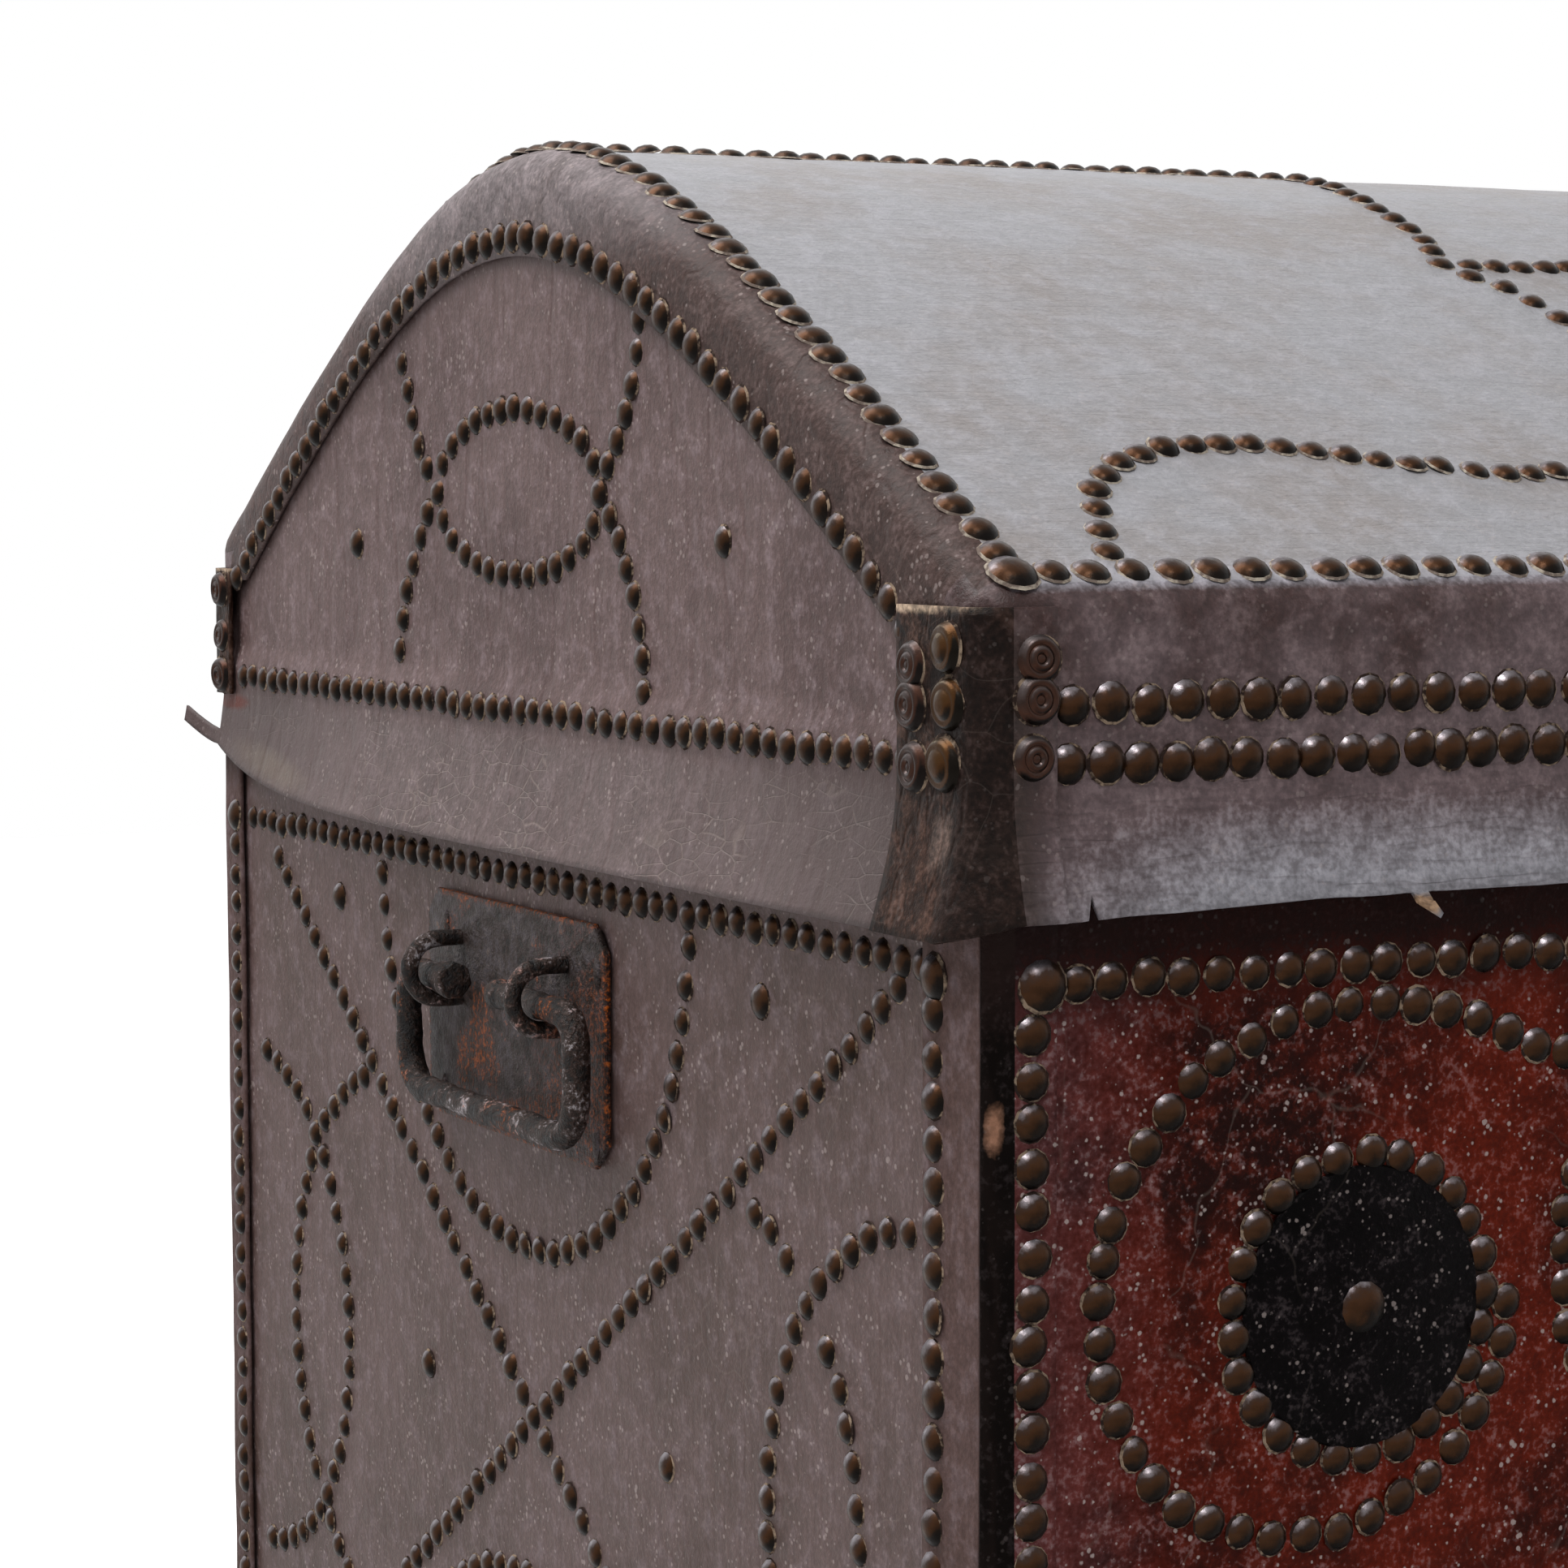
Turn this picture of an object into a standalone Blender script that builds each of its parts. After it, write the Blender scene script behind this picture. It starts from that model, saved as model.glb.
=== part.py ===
"""A dome-topped travelling trunk: a boarded case and a staved lid, both covered in leather.

Lengths are in metres. X runs along the trunk, the front faces -Y and the underside lies on Z = 0.
Every board, stave, leather, strap, staple, handle and lock piece is an object of its own.
"""

import math

import bpy
import bmesh
from mathutils import Vector

# Overall sizes, over the leather
TRUNK_LENGTH = 1.080
TRUNK_DEPTH = 0.560
BASE_HEIGHT = 0.384
LID_OVERHANG = 0.0015
LID_SIDE_HEIGHT = 0.0657
DOME_RISE = 0.1295
CROWN_BREADTH = 0.117
CROWN_SHIFT = 0.007
EAVE_RADIUS = 0.012
END_RADIUS = 0.012

# Boards, leathers and the clearance between two pieces that touch
BOARD_THICKNESS = 0.016
STAVE_THICKNESS = 0.012
STAVE_COUNT = 8
PANEL_LEATHER = 0.002
COVER_LEATHER = 0.002
SEAT_GAP = 0.0003
RIM_MARGIN = 0.001
CUT_OVERRUN = 0.004

# Leather strips on the corners of the base
BINDING_FRONT_LEG = 0.021
BINDING_END_LEG = 0.031
BINDING_REAR_LEG = 0.020
BINDING_RADIUS = 0.004

# Leather of the lid: its turn over the gables, and the skirt that hangs past the joint
WINDOW_DROP = 0.033
WINDOW_SHIFT = 0.009
WINDOW_BREADTH = 0.156
WINDOW_FLANK = 0.1243
SKIRT_LEATHER = 0.002
END_SKIRT_TOP = 0.027
SKIRT_BEND = 0.020
SKIRT_FLARE = 0.008
FLARE_POWER = 1.7
END_SKIRT_OVERLAP = 0.020
FRONT_SKIRT_OVERLAP = 0.0133
FRONT_SKIRT_CORNER_DROP = 0.002
FRONT_SKIRT_EASE = 0.110
REAR_LIFT = 0.017
REAR_LIFT_POWER = 10
TAIL_LENGTH = 0.020
TAIL_CLEARANCE = 0.002
TAIL_WIDTH = 0.006
TAIL_RISE = 0.008
TAIL_CURL = 0.006

# Corner pieces of the lid
CORNER_LEATHER = 0.0018
CORNER_RADIUS = 0.007
CORNER_END_LEG = 0.038
CORNER_END_SPREAD = 0.002
CORNER_FRONT_LEG = 0.021
CORNER_HEAD_LAP = 0.004
REAR_CORNER_LEG = 0.020
REAR_CORNER_DROP = 0.042

# Iron carrying handles: back plate, staples and bail
HANDLE_DROP = 0.075
HANDLE_OFFSET = 0.009
PLATE_WIDTH = 0.137
PLATE_HEIGHT = 0.074
PLATE_THICKNESS = 0.0025
PLATE_CHAMFER = 0.008
PLATE_EDGE_BEVEL = 0.0008
STAPLE_ABOVE_PLATE_MIDDLE = 0.013
STAPLE_SPREAD = 0.041
STAPLE_ROD = 0.0055
STAPLE_EYE_RADIUS = 0.007
STAPLE_STANDOFF = 0.008
STAPLE_CLENCH = 0.013
STAPLE_BEND = 0.0042
BAIL_ROD = 0.0085
BAIL_HALF_WIDTH = 0.0657
BAIL_DROP = 0.038
BAIL_TOP_BEND = 0.010
BAIL_FOOT_BEND = 0.014
BAIL_REAR_STUB_END = 0.027
BAIL_FRONT_STUB_END = 0.006
BAIL_HEAD_WIDTH = 0.0125
BAIL_HEAD_LENGTH = 0.008
HOLE_CLEARANCE = 0.0005

# Iron strap hinges on the back
HINGE_SPACING = 0.620
HINGE_WIDTH = 0.044
HINGE_TIP_WIDTH = 0.026
HINGE_PLATE = 0.0025
LOWER_STRAP = 0.120
UPPER_STRAP = 0.046
KNUCKLE_RADIUS = 0.0048
KNUCKLE_BORE = 0.0026
PIN_RADIUS = 0.0025
PIN_HEAD_RADIUS = 0.0042
PIN_HEAD_LENGTH = 0.002
KNUCKLE_STANDOFF = 0.0005
KNUCKLE_GAP = 0.0005
MIDDLE_KNUCKLE_SHARE = 0.4

# Chest lock inside the front board
LOCK_DROP = 0.004
CASE_WIDTH = 0.110
CASE_HEIGHT = 0.100
CASE_DEPTH = 0.019
CASE_WALL = 0.002
BOLT_LENGTH = 0.046
BOLT_HEIGHT = 0.010
BOLT_REST_CLEARANCE = 0.003
BOLT_NOSE_LENGTH = 0.014
BOLT_NOSE_THICKNESS = 0.006
BOLT_SHELF = 0.003
LINK_THICKNESS = 0.004
LINK_CLEARANCE = 0.001
LINK_IRON = 0.002
LINK_SHOULDER = 0.012
LINK_PLATE_WIDTH = 0.080
LINK_PLATE_HEIGHT = 0.030
LINK_PLATE = 0.002
SLOT_CLEARANCE = 0.0022
KEYHOLE_DROP = 0.058
KEYHOLE_RADIUS = 0.0048
KEYHOLE_SLOT_WIDTH = 0.0056
KEYHOLE_SLOT_LENGTH = 0.014
ESCUTCHEON_WIDTH = 0.040
ESCUTCHEON_HEIGHT = 0.062
ESCUTCHEON_THICKNESS = 0.002

# Facet counts, and the steps of a search
DOME_STEPS = 12
ARC_STEPS = 4
STAVE_STEPS = 3
BISECTIONS = 50
FLARE_STEPS = 5
SKIRT_COLUMNS = 14
TAIL_COLUMNS = 3
ROUND_SIDES = 16
HOLE_SIDES = 12
ROD_RESOLUTION = 2

# Places that follow from the sizes above
HALF_LENGTH = TRUNK_LENGTH / 2
HALF_DEPTH = TRUNK_DEPTH / 2
LID_HALF = HALF_LENGTH + LID_OVERHANG
FRONT_REACH = HALF_DEPTH + CROWN_SHIFT
REAR_REACH = HALF_DEPTH - CROWN_SHIFT
PANEL_OUT = COVER_LEATHER + SEAT_GAP
BOARD_OUT = PANEL_OUT + PANEL_LEATHER + SEAT_GAP
BOARD_IN = BOARD_OUT + BOARD_THICKNESS
LID_JOINT = BASE_HEIGHT + SEAT_GAP
CROWN = LID_JOINT + LID_SIDE_HEIGHT + DOME_RISE
FLANK = DOME_RISE / (math.hypot(1, FRONT_REACH / CROWN_BREADTH) - 1)
STAVE_UNDER = PANEL_OUT + STAVE_THICKNESS


def dome_height(v):
    """Height of the dome's leather at v behind its crown line: a round crown whose flanks run almost straight."""
    return CROWN - FLANK * (math.hypot(1, v / CROWN_BREADTH) - 1)


def dome_normal(v):
    """Outward direction of the dome at v behind its crown line, as (depth, height)."""
    slope = -FLANK * v / CROWN_BREADTH**2 / math.hypot(1, v / CROWN_BREADTH)
    size = math.hypot(slope, 1)
    return -slope / size, 1 / size


def dome_point(v, inset):
    """The point that lies inset below the dome's leather at v behind its crown line, as (v, z)."""
    across, up = dome_normal(v)
    return v - across * inset, dome_height(v) - up * inset


def eave_tangent(reach):
    """Distance from the crown line at which the rounding of the eave at the given reach meets the dome."""
    out = reach
    for _ in range(BISECTIONS):
        out = reach - EAVE_RADIUS * (1 - dome_normal(out)[0])
    return out


def eave_seat(reach):
    """Height of the middle of an eave's rounding, which is the top of the wall under it."""
    return dome_point(eave_tangent(reach), EAVE_RADIUS)[1]


COVER_LOW = eave_seat(FRONT_REACH) - RIM_MARGIN
REAR_CORNER_HEM = COVER_LOW - REAR_CORNER_DROP
WALL_X = LID_HALF - SKIRT_LEATHER
WALL_Y = HALF_DEPTH - SKIRT_LEATHER
CORNER_START_X = LID_HALF - CORNER_RADIUS
CORNER_START_Y = HALF_DEPTH - CORNER_RADIUS


def dome_start(reach, inset, floor):
    """Distance from the crown line out to which the dome, lowered by inset, is inside its wall and above floor."""
    if inset < EAVE_RADIUS:
        return eave_tangent(reach)
    low, high = 0, reach
    for _ in range(BISECTIONS):
        middle = (low + high) / 2
        out, z = dome_point(middle, inset)
        if out > reach - inset or z < floor:
            high = middle
        else:
            low = middle
    return low


def eave_arc(reach, inset):
    """Points of a rounded eave, lowered by inset, from its foot to the dome, as (distance out, z)."""
    radius = EAVE_RADIUS - inset
    if radius <= 0:
        return []
    across, up = dome_normal(eave_tangent(reach))
    turn = math.atan2(up, across)
    middle, seat = reach - EAVE_RADIUS, eave_seat(reach)
    angles = [turn * step / ARC_STEPS for step in range(ARC_STEPS)]
    return [(middle + radius * math.cos(a), seat + radius * math.sin(a)) for a in angles]


def half_outline(reach, inset, floor):
    """Half of the lid's outline, from the foot of its wall up to the crown, as (distance out, z)."""
    start = dome_start(reach, inset, floor)
    flank = [dome_point(start * (1 - step / DOME_STEPS), inset) for step in range(DOME_STEPS)]
    half = eave_arc(reach, inset) + flank
    if half[0][1] > floor + SEAT_GAP:
        half.insert(0, (reach - inset, floor))
    return half


def lid_outline(inset, floor):
    """Closed outline of the lid in its depth and height, lowered by inset and cut off at floor."""
    front = [(CROWN_SHIFT - out, z) for out, z in half_outline(FRONT_REACH, inset, floor)]
    rear = [(CROWN_SHIFT + out, z) for out, z in half_outline(REAR_REACH, inset, floor)]
    return front + [(CROWN_SHIFT, CROWN - inset)] + rear[::-1]


def surface(name, colour, roughness, metallic=0.0):
    """A plain material in linear colour values."""
    made = bpy.data.materials.new(name)
    made.use_nodes = True
    shader = made.node_tree.nodes["Principled BSDF"]
    shader.inputs["Base Color"].default_value = (*colour, 1)
    shader.inputs["Roughness"].default_value = roughness
    shader.inputs["Metallic"].default_value = metallic
    made.diffuse_color = (*colour, 1)
    return made


def add_object(name, data, material, parent=None):
    """Links an object that carries the material and, where it moves, hangs it on its joint's empty."""
    made = bpy.data.objects.new(name, data)
    bpy.context.scene.collection.objects.link(made)
    data.materials.append(material)
    if parent:
        made.parent = parent
        made.matrix_parent_inverse = parent.matrix_basis.inverted()
    return made


def mesh_object(name, bm, material, parent=None, smooth=math.radians(35)):
    """Turns a finished bmesh into an object with smooth shading up to the given angle."""
    bmesh.ops.recalc_face_normals(bm, faces=bm.faces)
    mesh = bpy.data.meshes.new(name)
    bm.to_mesh(mesh)
    bm.free()
    mesh.shade_smooth()
    mesh.set_sharp_from_angle(angle=smooth)
    return add_object(name, mesh, material, parent)


def loft(rings):
    """A bmesh solid that is extruded from the first ring of points through each of the others."""
    bm = bmesh.new()
    face = bm.faces.new([bm.verts.new(point) for point in rings[0]])
    for ring in rings[1:]:
        extruded = bmesh.ops.extrude_face_region(bm, geom=[face, *face.edges])["geom"]
        face = next(item for item in extruded if isinstance(item, bmesh.types.BMFace))
        for vert, point in zip(face.verts, ring):
            vert.co = point
    return bm


def prism_x(outline, low, high):
    """An outline of (y, z) points extruded along X."""
    return loft([[(x, y, z) for y, z in outline] for x in (low, high)])


def prism_y(outline, low, high):
    """An outline of (x, z) points extruded along Y."""
    return loft([[(x, y, z) for x, z in outline] for y in (low, high)])


def prism_z(outline, low, high):
    """An outline of (x, y) points extruded along Z."""
    return loft([[(x, y, z) for x, y in outline] for z in (low, high)])


def block(low, high):
    """A box between two corners."""
    (x0, y0, z0), (x1, y1, z1) = low, high
    return prism_z([(x0, y0), (x1, y0), (x1, y1), (x0, y1)], z0, z1)


def circle(centre, radius, sides, start=0.0):
    """Points of a circle round a centre, in any plane of two axes."""
    turns = [start + math.tau * step / sides for step in range(sides)]
    return [(centre[0] + radius * math.cos(a), centre[1] + radius * math.sin(a)) for a in turns]


def hidden(tool):
    """Keeps a cutter out of the render and draws it as wire."""
    tool.hide_render = True
    tool.display_type = "WIRE"
    return tool


def combine(target, tool, operation="DIFFERENCE"):
    """Adds a Boolean modifier to the target."""
    modifier = target.modifiers.new(operation.title(), "BOOLEAN")
    modifier.operation = operation
    modifier.object = tool
    modifier.solver = "EXACT"


def rounded_path(corners, radii, steps=ARC_STEPS):
    """Points along straight runs between the corners, with an arc of the given radius at each inner corner."""
    corners = [Vector(corner) for corner in corners]
    points = [corners[0]]
    for before, corner, after, radius in zip(corners, corners[1:], corners[2:], radii):
        back = (before - corner).normalized()
        ahead = (after - corner).normalized()
        half_turn = back.angle(ahead) / 2
        middle = corner + (back + ahead).normalized() * radius / math.sin(half_turn)
        first = corner + back * radius / math.tan(half_turn) - middle
        last = corner + ahead * radius / math.tan(half_turn) - middle
        points += [middle + radius * first.slerp(last, step / steps) for step in range(steps + 1)]
    return points + [corners[-1]]


def rod(name, points, radius, material, parent=None, origin=(0, 0, 0)):
    """A round bar along the points, made as a bevelled curve whose origin is at the given place."""
    curve = bpy.data.curves.new(name, "CURVE")
    curve.dimensions = "3D"
    curve.bevel_depth = radius
    curve.bevel_resolution = ROD_RESOLUTION
    curve.use_fill_caps = True
    spline = curve.splines.new("POLY")
    spline.points.add(len(points) - 1)
    for target, point in zip(spline.points, points):
        target.co = (*(Vector(point) - Vector(origin)), 1)
    spline.use_smooth = True
    made = add_object(name, curve, material, parent)
    made.location = origin
    return made


def leather_sheet(name, columns, thickness, material, parent=None):
    """A sheet through columns of points, from its top to its hem, thickened outwards."""
    rows = len(columns[0])
    bm = bmesh.new()
    made = bmesh.ops.create_grid(bm, x_segments=len(columns) - 1, y_segments=rows - 1, size=1)
    order = sorted(made["verts"], key=lambda vert: (round(vert.co.x, 4), -round(vert.co.y, 4)))
    for vert, point in zip(order, [point for column in columns for point in column]):
        vert.co = point
    mesh = bpy.data.meshes.new(name)
    bm.normal_update()
    bm.to_mesh(mesh)
    bm.free()
    mesh.shade_smooth()
    made = add_object(name, mesh, material, parent)
    solidify = made.modifiers.new("Leather thickness", "SOLIDIFY")
    solidify.thickness = thickness
    solidify.offset = 1
    solidify.use_even_offset = True
    return made


def hang(z, lift=0.0):
    """How far out of the lid's wall a hanging leather lies at height z, when it lies lift above the lowest layer."""
    share = max(LID_JOINT + SKIRT_BEND - z, 0) / (SKIRT_BEND + END_SKIRT_OVERLAP)
    slope = FLARE_POWER * SKIRT_FLARE * share ** (FLARE_POWER - 1) / (SKIRT_BEND + END_SKIRT_OVERLAP)
    return SKIRT_FLARE * share**FLARE_POWER + lift * math.hypot(1, slope)


def hang_levels(top, hem, lift=0.0):
    """(height, distance out of the wall) down a hanging leather: straight to the bend, then out to its hem."""
    bend = LID_JOINT + SKIRT_BEND
    heights = [top] + [bend + (hem - bend) * step / FLARE_STEPS for step in range(FLARE_STEPS + 1)]
    return [(z, hang(z, lift)) for z in heights]


def ease(share):
    """Smooth step from 0 to 1."""
    share = min(max(share, 0), 1)
    return share * share * (3 - 2 * share)


def lid_block(inset, floor):
    """The lid's outer form lowered by inset: the outline carried along X with rounded ends."""
    radius = END_RADIUS - inset
    length = LID_HALF - inset
    turns = [math.pi / 2 * step / ARC_STEPS for step in range(ARC_STEPS + 1)]
    stations = [(length - radius * (1 - math.sin(a)), inset + radius * (1 - math.cos(a))) for a in turns]
    stations = [(-x, i) for x, i in reversed(stations)] + stations
    return loft([[(x, y, z) for y, z in lid_outline(i, floor)] for x, i in stations])


def make_carcass(wood):
    """Five boards: the floor, with the long walls and the end walls standing on it."""
    length = HALF_LENGTH - BOARD_OUT
    depth = HALF_DEPTH - BOARD_OUT
    inner = HALF_DEPTH - BOARD_IN
    floor = BOARD_THICKNESS + SEAT_GAP
    boards = {"bottom_board": block((-length, -depth, 0), (length, depth, BOARD_THICKNESS))}
    for name, low, high in (("front_board", -depth, -inner), ("back_board", inner, depth)):
        boards[name] = block((-length, low, floor), (length, high, BASE_HEIGHT))
    end_depth = inner - SEAT_GAP
    for name, side in (("left_end_board", -1), ("right_end_board", 1)):
        low, high = sorted((side * length, side * (length - BOARD_THICKNESS)))
        boards[name] = block((low, -end_depth, floor), (high, end_depth, BASE_HEIGHT))
    return {name: mesh_object(name, bm, wood) for name, bm in boards.items()}


def make_panels(red_leather, brown_leather):
    """The leather on the four sides of the base, under the corner strips."""
    low, high = RIM_MARGIN, BASE_HEIGHT - RIM_MARGIN
    length, depth = HALF_LENGTH - PANEL_OUT, HALF_DEPTH - PANEL_OUT
    sides = {
        "front_leather": ((-length, -depth, low), (length, PANEL_LEATHER - depth, high)),
        "back_leather": ((-length, depth - PANEL_LEATHER, low), (length, depth, high)),
    }
    reach = depth - PANEL_LEATHER - SEAT_GAP
    sides["left_end_leather"] = ((-length, -reach, low), (PANEL_LEATHER - length, reach, high))
    sides["right_end_leather"] = ((length - PANEL_LEATHER, -reach, low), (length, reach, high))
    made = {}
    for name, (first, last) in sides.items():
        material = red_leather if name == "front_leather" else brown_leather
        made[name] = mesh_object(name, block(first, last), material)
    return made


def corner_outline(side, facing, end_leg, long_leg, thickness, radius):
    """Plan of a leather strip folded round one corner: side is -1 or 1 along X, facing -1 or 1 along Y."""
    arc = [math.pi / 2 * step / ARC_STEPS for step in range(ARC_STEPS + 1)]
    middle = HALF_LENGTH - radius, HALF_DEPTH - radius
    outer = [(HALF_LENGTH, HALF_DEPTH - end_leg)]
    outer += [(middle[0] + radius * math.cos(a), middle[1] + radius * math.sin(a)) for a in arc]
    outer += [(HALF_LENGTH - long_leg, HALF_DEPTH)]
    inner = [
        (HALF_LENGTH - long_leg, HALF_DEPTH - thickness),
        (HALF_LENGTH - thickness, HALF_DEPTH - thickness),
        (HALF_LENGTH - thickness, HALF_DEPTH - end_leg),
    ]
    return [(side * x, facing * y) for x, y in outer + inner]


def make_bindings(leather):
    """Strips folded round the four upright corners of the base."""
    for side_name, side in (("left", -1), ("right", 1)):
        for facing_name, facing in (("front", -1), ("rear", 1)):
            end_leg = BINDING_END_LEG if facing < 0 else BINDING_REAR_LEG
            long_leg = BINDING_FRONT_LEG if facing < 0 else BINDING_REAR_LEG
            outline = corner_outline(side, facing, end_leg, long_leg, COVER_LEATHER, BINDING_RADIUS)
            strip = prism_z(outline, RIM_MARGIN, BASE_HEIGHT - RIM_MARGIN)
            mesh_object(f"{facing_name}_{side_name}_corner_strip", strip, leather)


def make_lid_frame(wood, lid):
    """Front and back rails, the gable boards between them, and the staves that make the dome."""
    length = LID_HALF - BOARD_OUT
    outer = HALF_DEPTH - PANEL_OUT
    inner = outer - BOARD_THICKNESS
    form = hidden(mesh_object("lid_form", lid_block(PANEL_OUT, LID_JOINT - CUT_OVERRUN), wood))
    rails = (
        ("lid_front_rail", -outer, -inner, eave_seat(FRONT_REACH)),
        ("lid_back_rail", inner, outer, eave_seat(REAR_REACH)),
    )
    for name, low, high, top in rails:
        rail = mesh_object(name, block((-length, low, LID_JOINT), (length, high, top)), wood, lid)
        combine(rail, form, "INTERSECT")
    reach = inner - SEAT_GAP
    places = [reach * (step / DOME_STEPS - 1) for step in range(2 * DOME_STEPS + 1)]
    crown = [(y, under_dome(y, STAVE_UNDER + SEAT_GAP)) for y in places]
    gable = [(-reach, LID_JOINT)] + crown + [(reach, LID_JOINT)]
    for name, side in (("left_gable_board", -1), ("right_gable_board", 1)):
        low, high = sorted((side * length, side * (length - BOARD_THICKNESS)))
        mesh_object(name, prism_x(gable, low, high), wood, lid)
    make_staves(wood, form, lid)


def under_dome(y, inset):
    """Height at depth y of the dome lowered by inset."""
    wanted = y - CROWN_SHIFT
    found = wanted
    for _ in range(BISECTIONS):
        found += wanted - dome_point(found, inset)[0]
    return dome_point(found, inset)[1]


def make_staves(wood, form, lid):
    """Narrow boards side by side over the gables, planed round at their ends like the leather over them."""
    start, end = -eave_tangent(FRONT_REACH), eave_tangent(REAR_REACH)
    width = (end - start) / STAVE_COUNT
    shares = [step / STAVE_STEPS for step in range(STAVE_STEPS + 1)]
    for index in range(STAVE_COUNT):
        first = start + width * index + SEAT_GAP / 2
        last = start + width * (index + 1) - SEAT_GAP / 2
        under_first, under_last = first, last
        front_eave, rear_eave = [], []
        if index == 0:
            foot = eave_seat(FRONT_REACH) + SEAT_GAP
            first, under_first = start, -dome_start(FRONT_REACH, STAVE_UNDER, foot)
            front_eave = [(-out, max(z, foot)) for out, z in eave_arc(FRONT_REACH, PANEL_OUT)]
        if index == STAVE_COUNT - 1:
            foot = eave_seat(REAR_REACH) + SEAT_GAP
            last, under_last = end, dome_start(REAR_REACH, STAVE_UNDER, foot)
            rear_eave = [(out, max(z, foot)) for out, z in reversed(eave_arc(REAR_REACH, PANEL_OUT))]
        top = [dome_point(first + (last - first) * t, PANEL_OUT) for t in shares]
        under = [dome_point(under_last + (under_first - under_last) * t, STAVE_UNDER) for t in shares]
        outline = [(CROWN_SHIFT + v, z) for v, z in front_eave + top + rear_eave + under]
        made = mesh_object(f"lid_stave_{index + 1}", prism_x(outline, -LID_HALF, LID_HALF), wood, lid)
        combine(made, form, "INTERSECT")


def window_outline():
    """Outline of the gable that the cover's turned edge leaves bare: an arch rounder than the dome."""
    crown = CROWN - WINDOW_DROP
    half = WINDOW_BREADTH * math.sqrt((1 + (crown - COVER_LOW) / WINDOW_FLANK) ** 2 - 1)
    places = [half * (step / DOME_STEPS - 1) for step in range(2 * DOME_STEPS + 1)]
    arch = [(WINDOW_SHIFT + v, crown - WINDOW_FLANK * (math.hypot(1, v / WINDOW_BREADTH) - 1)) for v in places]
    low = COVER_LOW - CUT_OVERRUN
    return [(WINDOW_SHIFT - half, low), *arch, (WINDOW_SHIFT + half, low)]


def make_lid_leather(leather, lid):
    """The hide over the dome, turned over both gables, and the panel leather that shows inside the turn."""
    cover = mesh_object("lid_cover_leather", lid_block(0, COVER_LOW), leather, lid)
    hollow = hidden(mesh_object("lid_hollow", lid_block(COVER_LEATHER, COVER_LOW - CUT_OVERRUN), leather))
    reach = LID_HALF + CUT_OVERRUN
    window = hidden(mesh_object("gable_window", prism_x(window_outline(), -reach, reach), leather))
    combine(cover, hollow)
    combine(cover, window)
    inset = STAVE_UNDER + SEAT_GAP
    side = HALF_DEPTH - PANEL_OUT - SEAT_GAP
    shoulder = COVER_LOW - SEAT_GAP
    crown = lid_outline(inset, shoulder)
    low = LID_JOINT + RIM_MARGIN
    outline = [(-side, low), (-side, shoulder)] + crown + [(side, shoulder), (side, low)]
    face = LID_HALF - PANEL_OUT
    for name, turn in (("left_gable_leather", -1), ("right_gable_leather", 1)):
        first, last = sorted((turn * face, turn * (face - PANEL_LEATHER)))
        mesh_object(name, prism_x(outline, first, last), leather, lid)
    back = HALF_DEPTH - PANEL_OUT + SEAT_GAP
    strip = block((-CORNER_START_X, back, low), (CORNER_START_X, HALF_DEPTH, COVER_LOW - SEAT_GAP))
    mesh_object("lid_back_leather", strip, leather, lid)


def end_hem(y):
    """Height of an end skirt's hem at depth y: level, then lifting towards the rear."""
    share = (1 + min(y / CORNER_START_Y, 1)) / 2
    return LID_JOINT - END_SKIRT_OVERLAP + REAR_LIFT * share**REAR_LIFT_POWER


def make_end_skirt(name, side, leather, lid, torn=False):
    """The leather that hangs from a gable over the joint. A torn one ends in a tail past the rear corner."""
    length = 2 * CORNER_START_Y - (TAIL_LENGTH if torn else 0)
    columns = []
    for index in range(SKIRT_COLUMNS + 1):
        y = length * index / SKIRT_COLUMNS - CORNER_START_Y
        levels = hang_levels(LID_JOINT + END_SKIRT_TOP, end_hem(y))
        columns.append([(side * (WALL_X + out), y, z) for z, out in levels])
    if torn:
        columns += tail_columns(side)
    if side < 0:
        columns.reverse()
    leather_sheet(name, columns, SKIRT_LEATHER, leather, lid)


def tail_columns(side):
    """The rear end of a torn skirt: its top drops under the rear corner piece, and the hem curls on as a strip."""
    top, head = LID_JOINT + END_SKIRT_TOP, REAR_CORNER_HEM - TAIL_CLEARANCE
    columns = []
    for index in range(1, 2 * TAIL_COLUMNS + 1):
        share = index / TAIL_COLUMNS - 1
        y, curl = CORNER_START_Y + TAIL_LENGTH * share, max(share, 0) ** 2
        low = end_hem(y) + TAIL_RISE * curl
        high = low + TAIL_WIDTH if share > 0 else head + (head - top) * share
        heights = [high + (low - high) * step / (FLARE_STEPS + 1) for step in range(FLARE_STEPS + 2)]
        columns.append([(side * (WALL_X + hang(z) + TAIL_CURL * curl), y, z) for z in heights])
    return columns


def front_hem(x):
    """Height of the front skirt's hem at length x: level, and a little lower beside the corners."""
    corner_share = 1 - ease((CORNER_START_X - abs(x)) / FRONT_SKIRT_EASE)
    return LID_JOINT - FRONT_SKIRT_OVERLAP - FRONT_SKIRT_CORNER_DROP * corner_share


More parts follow.
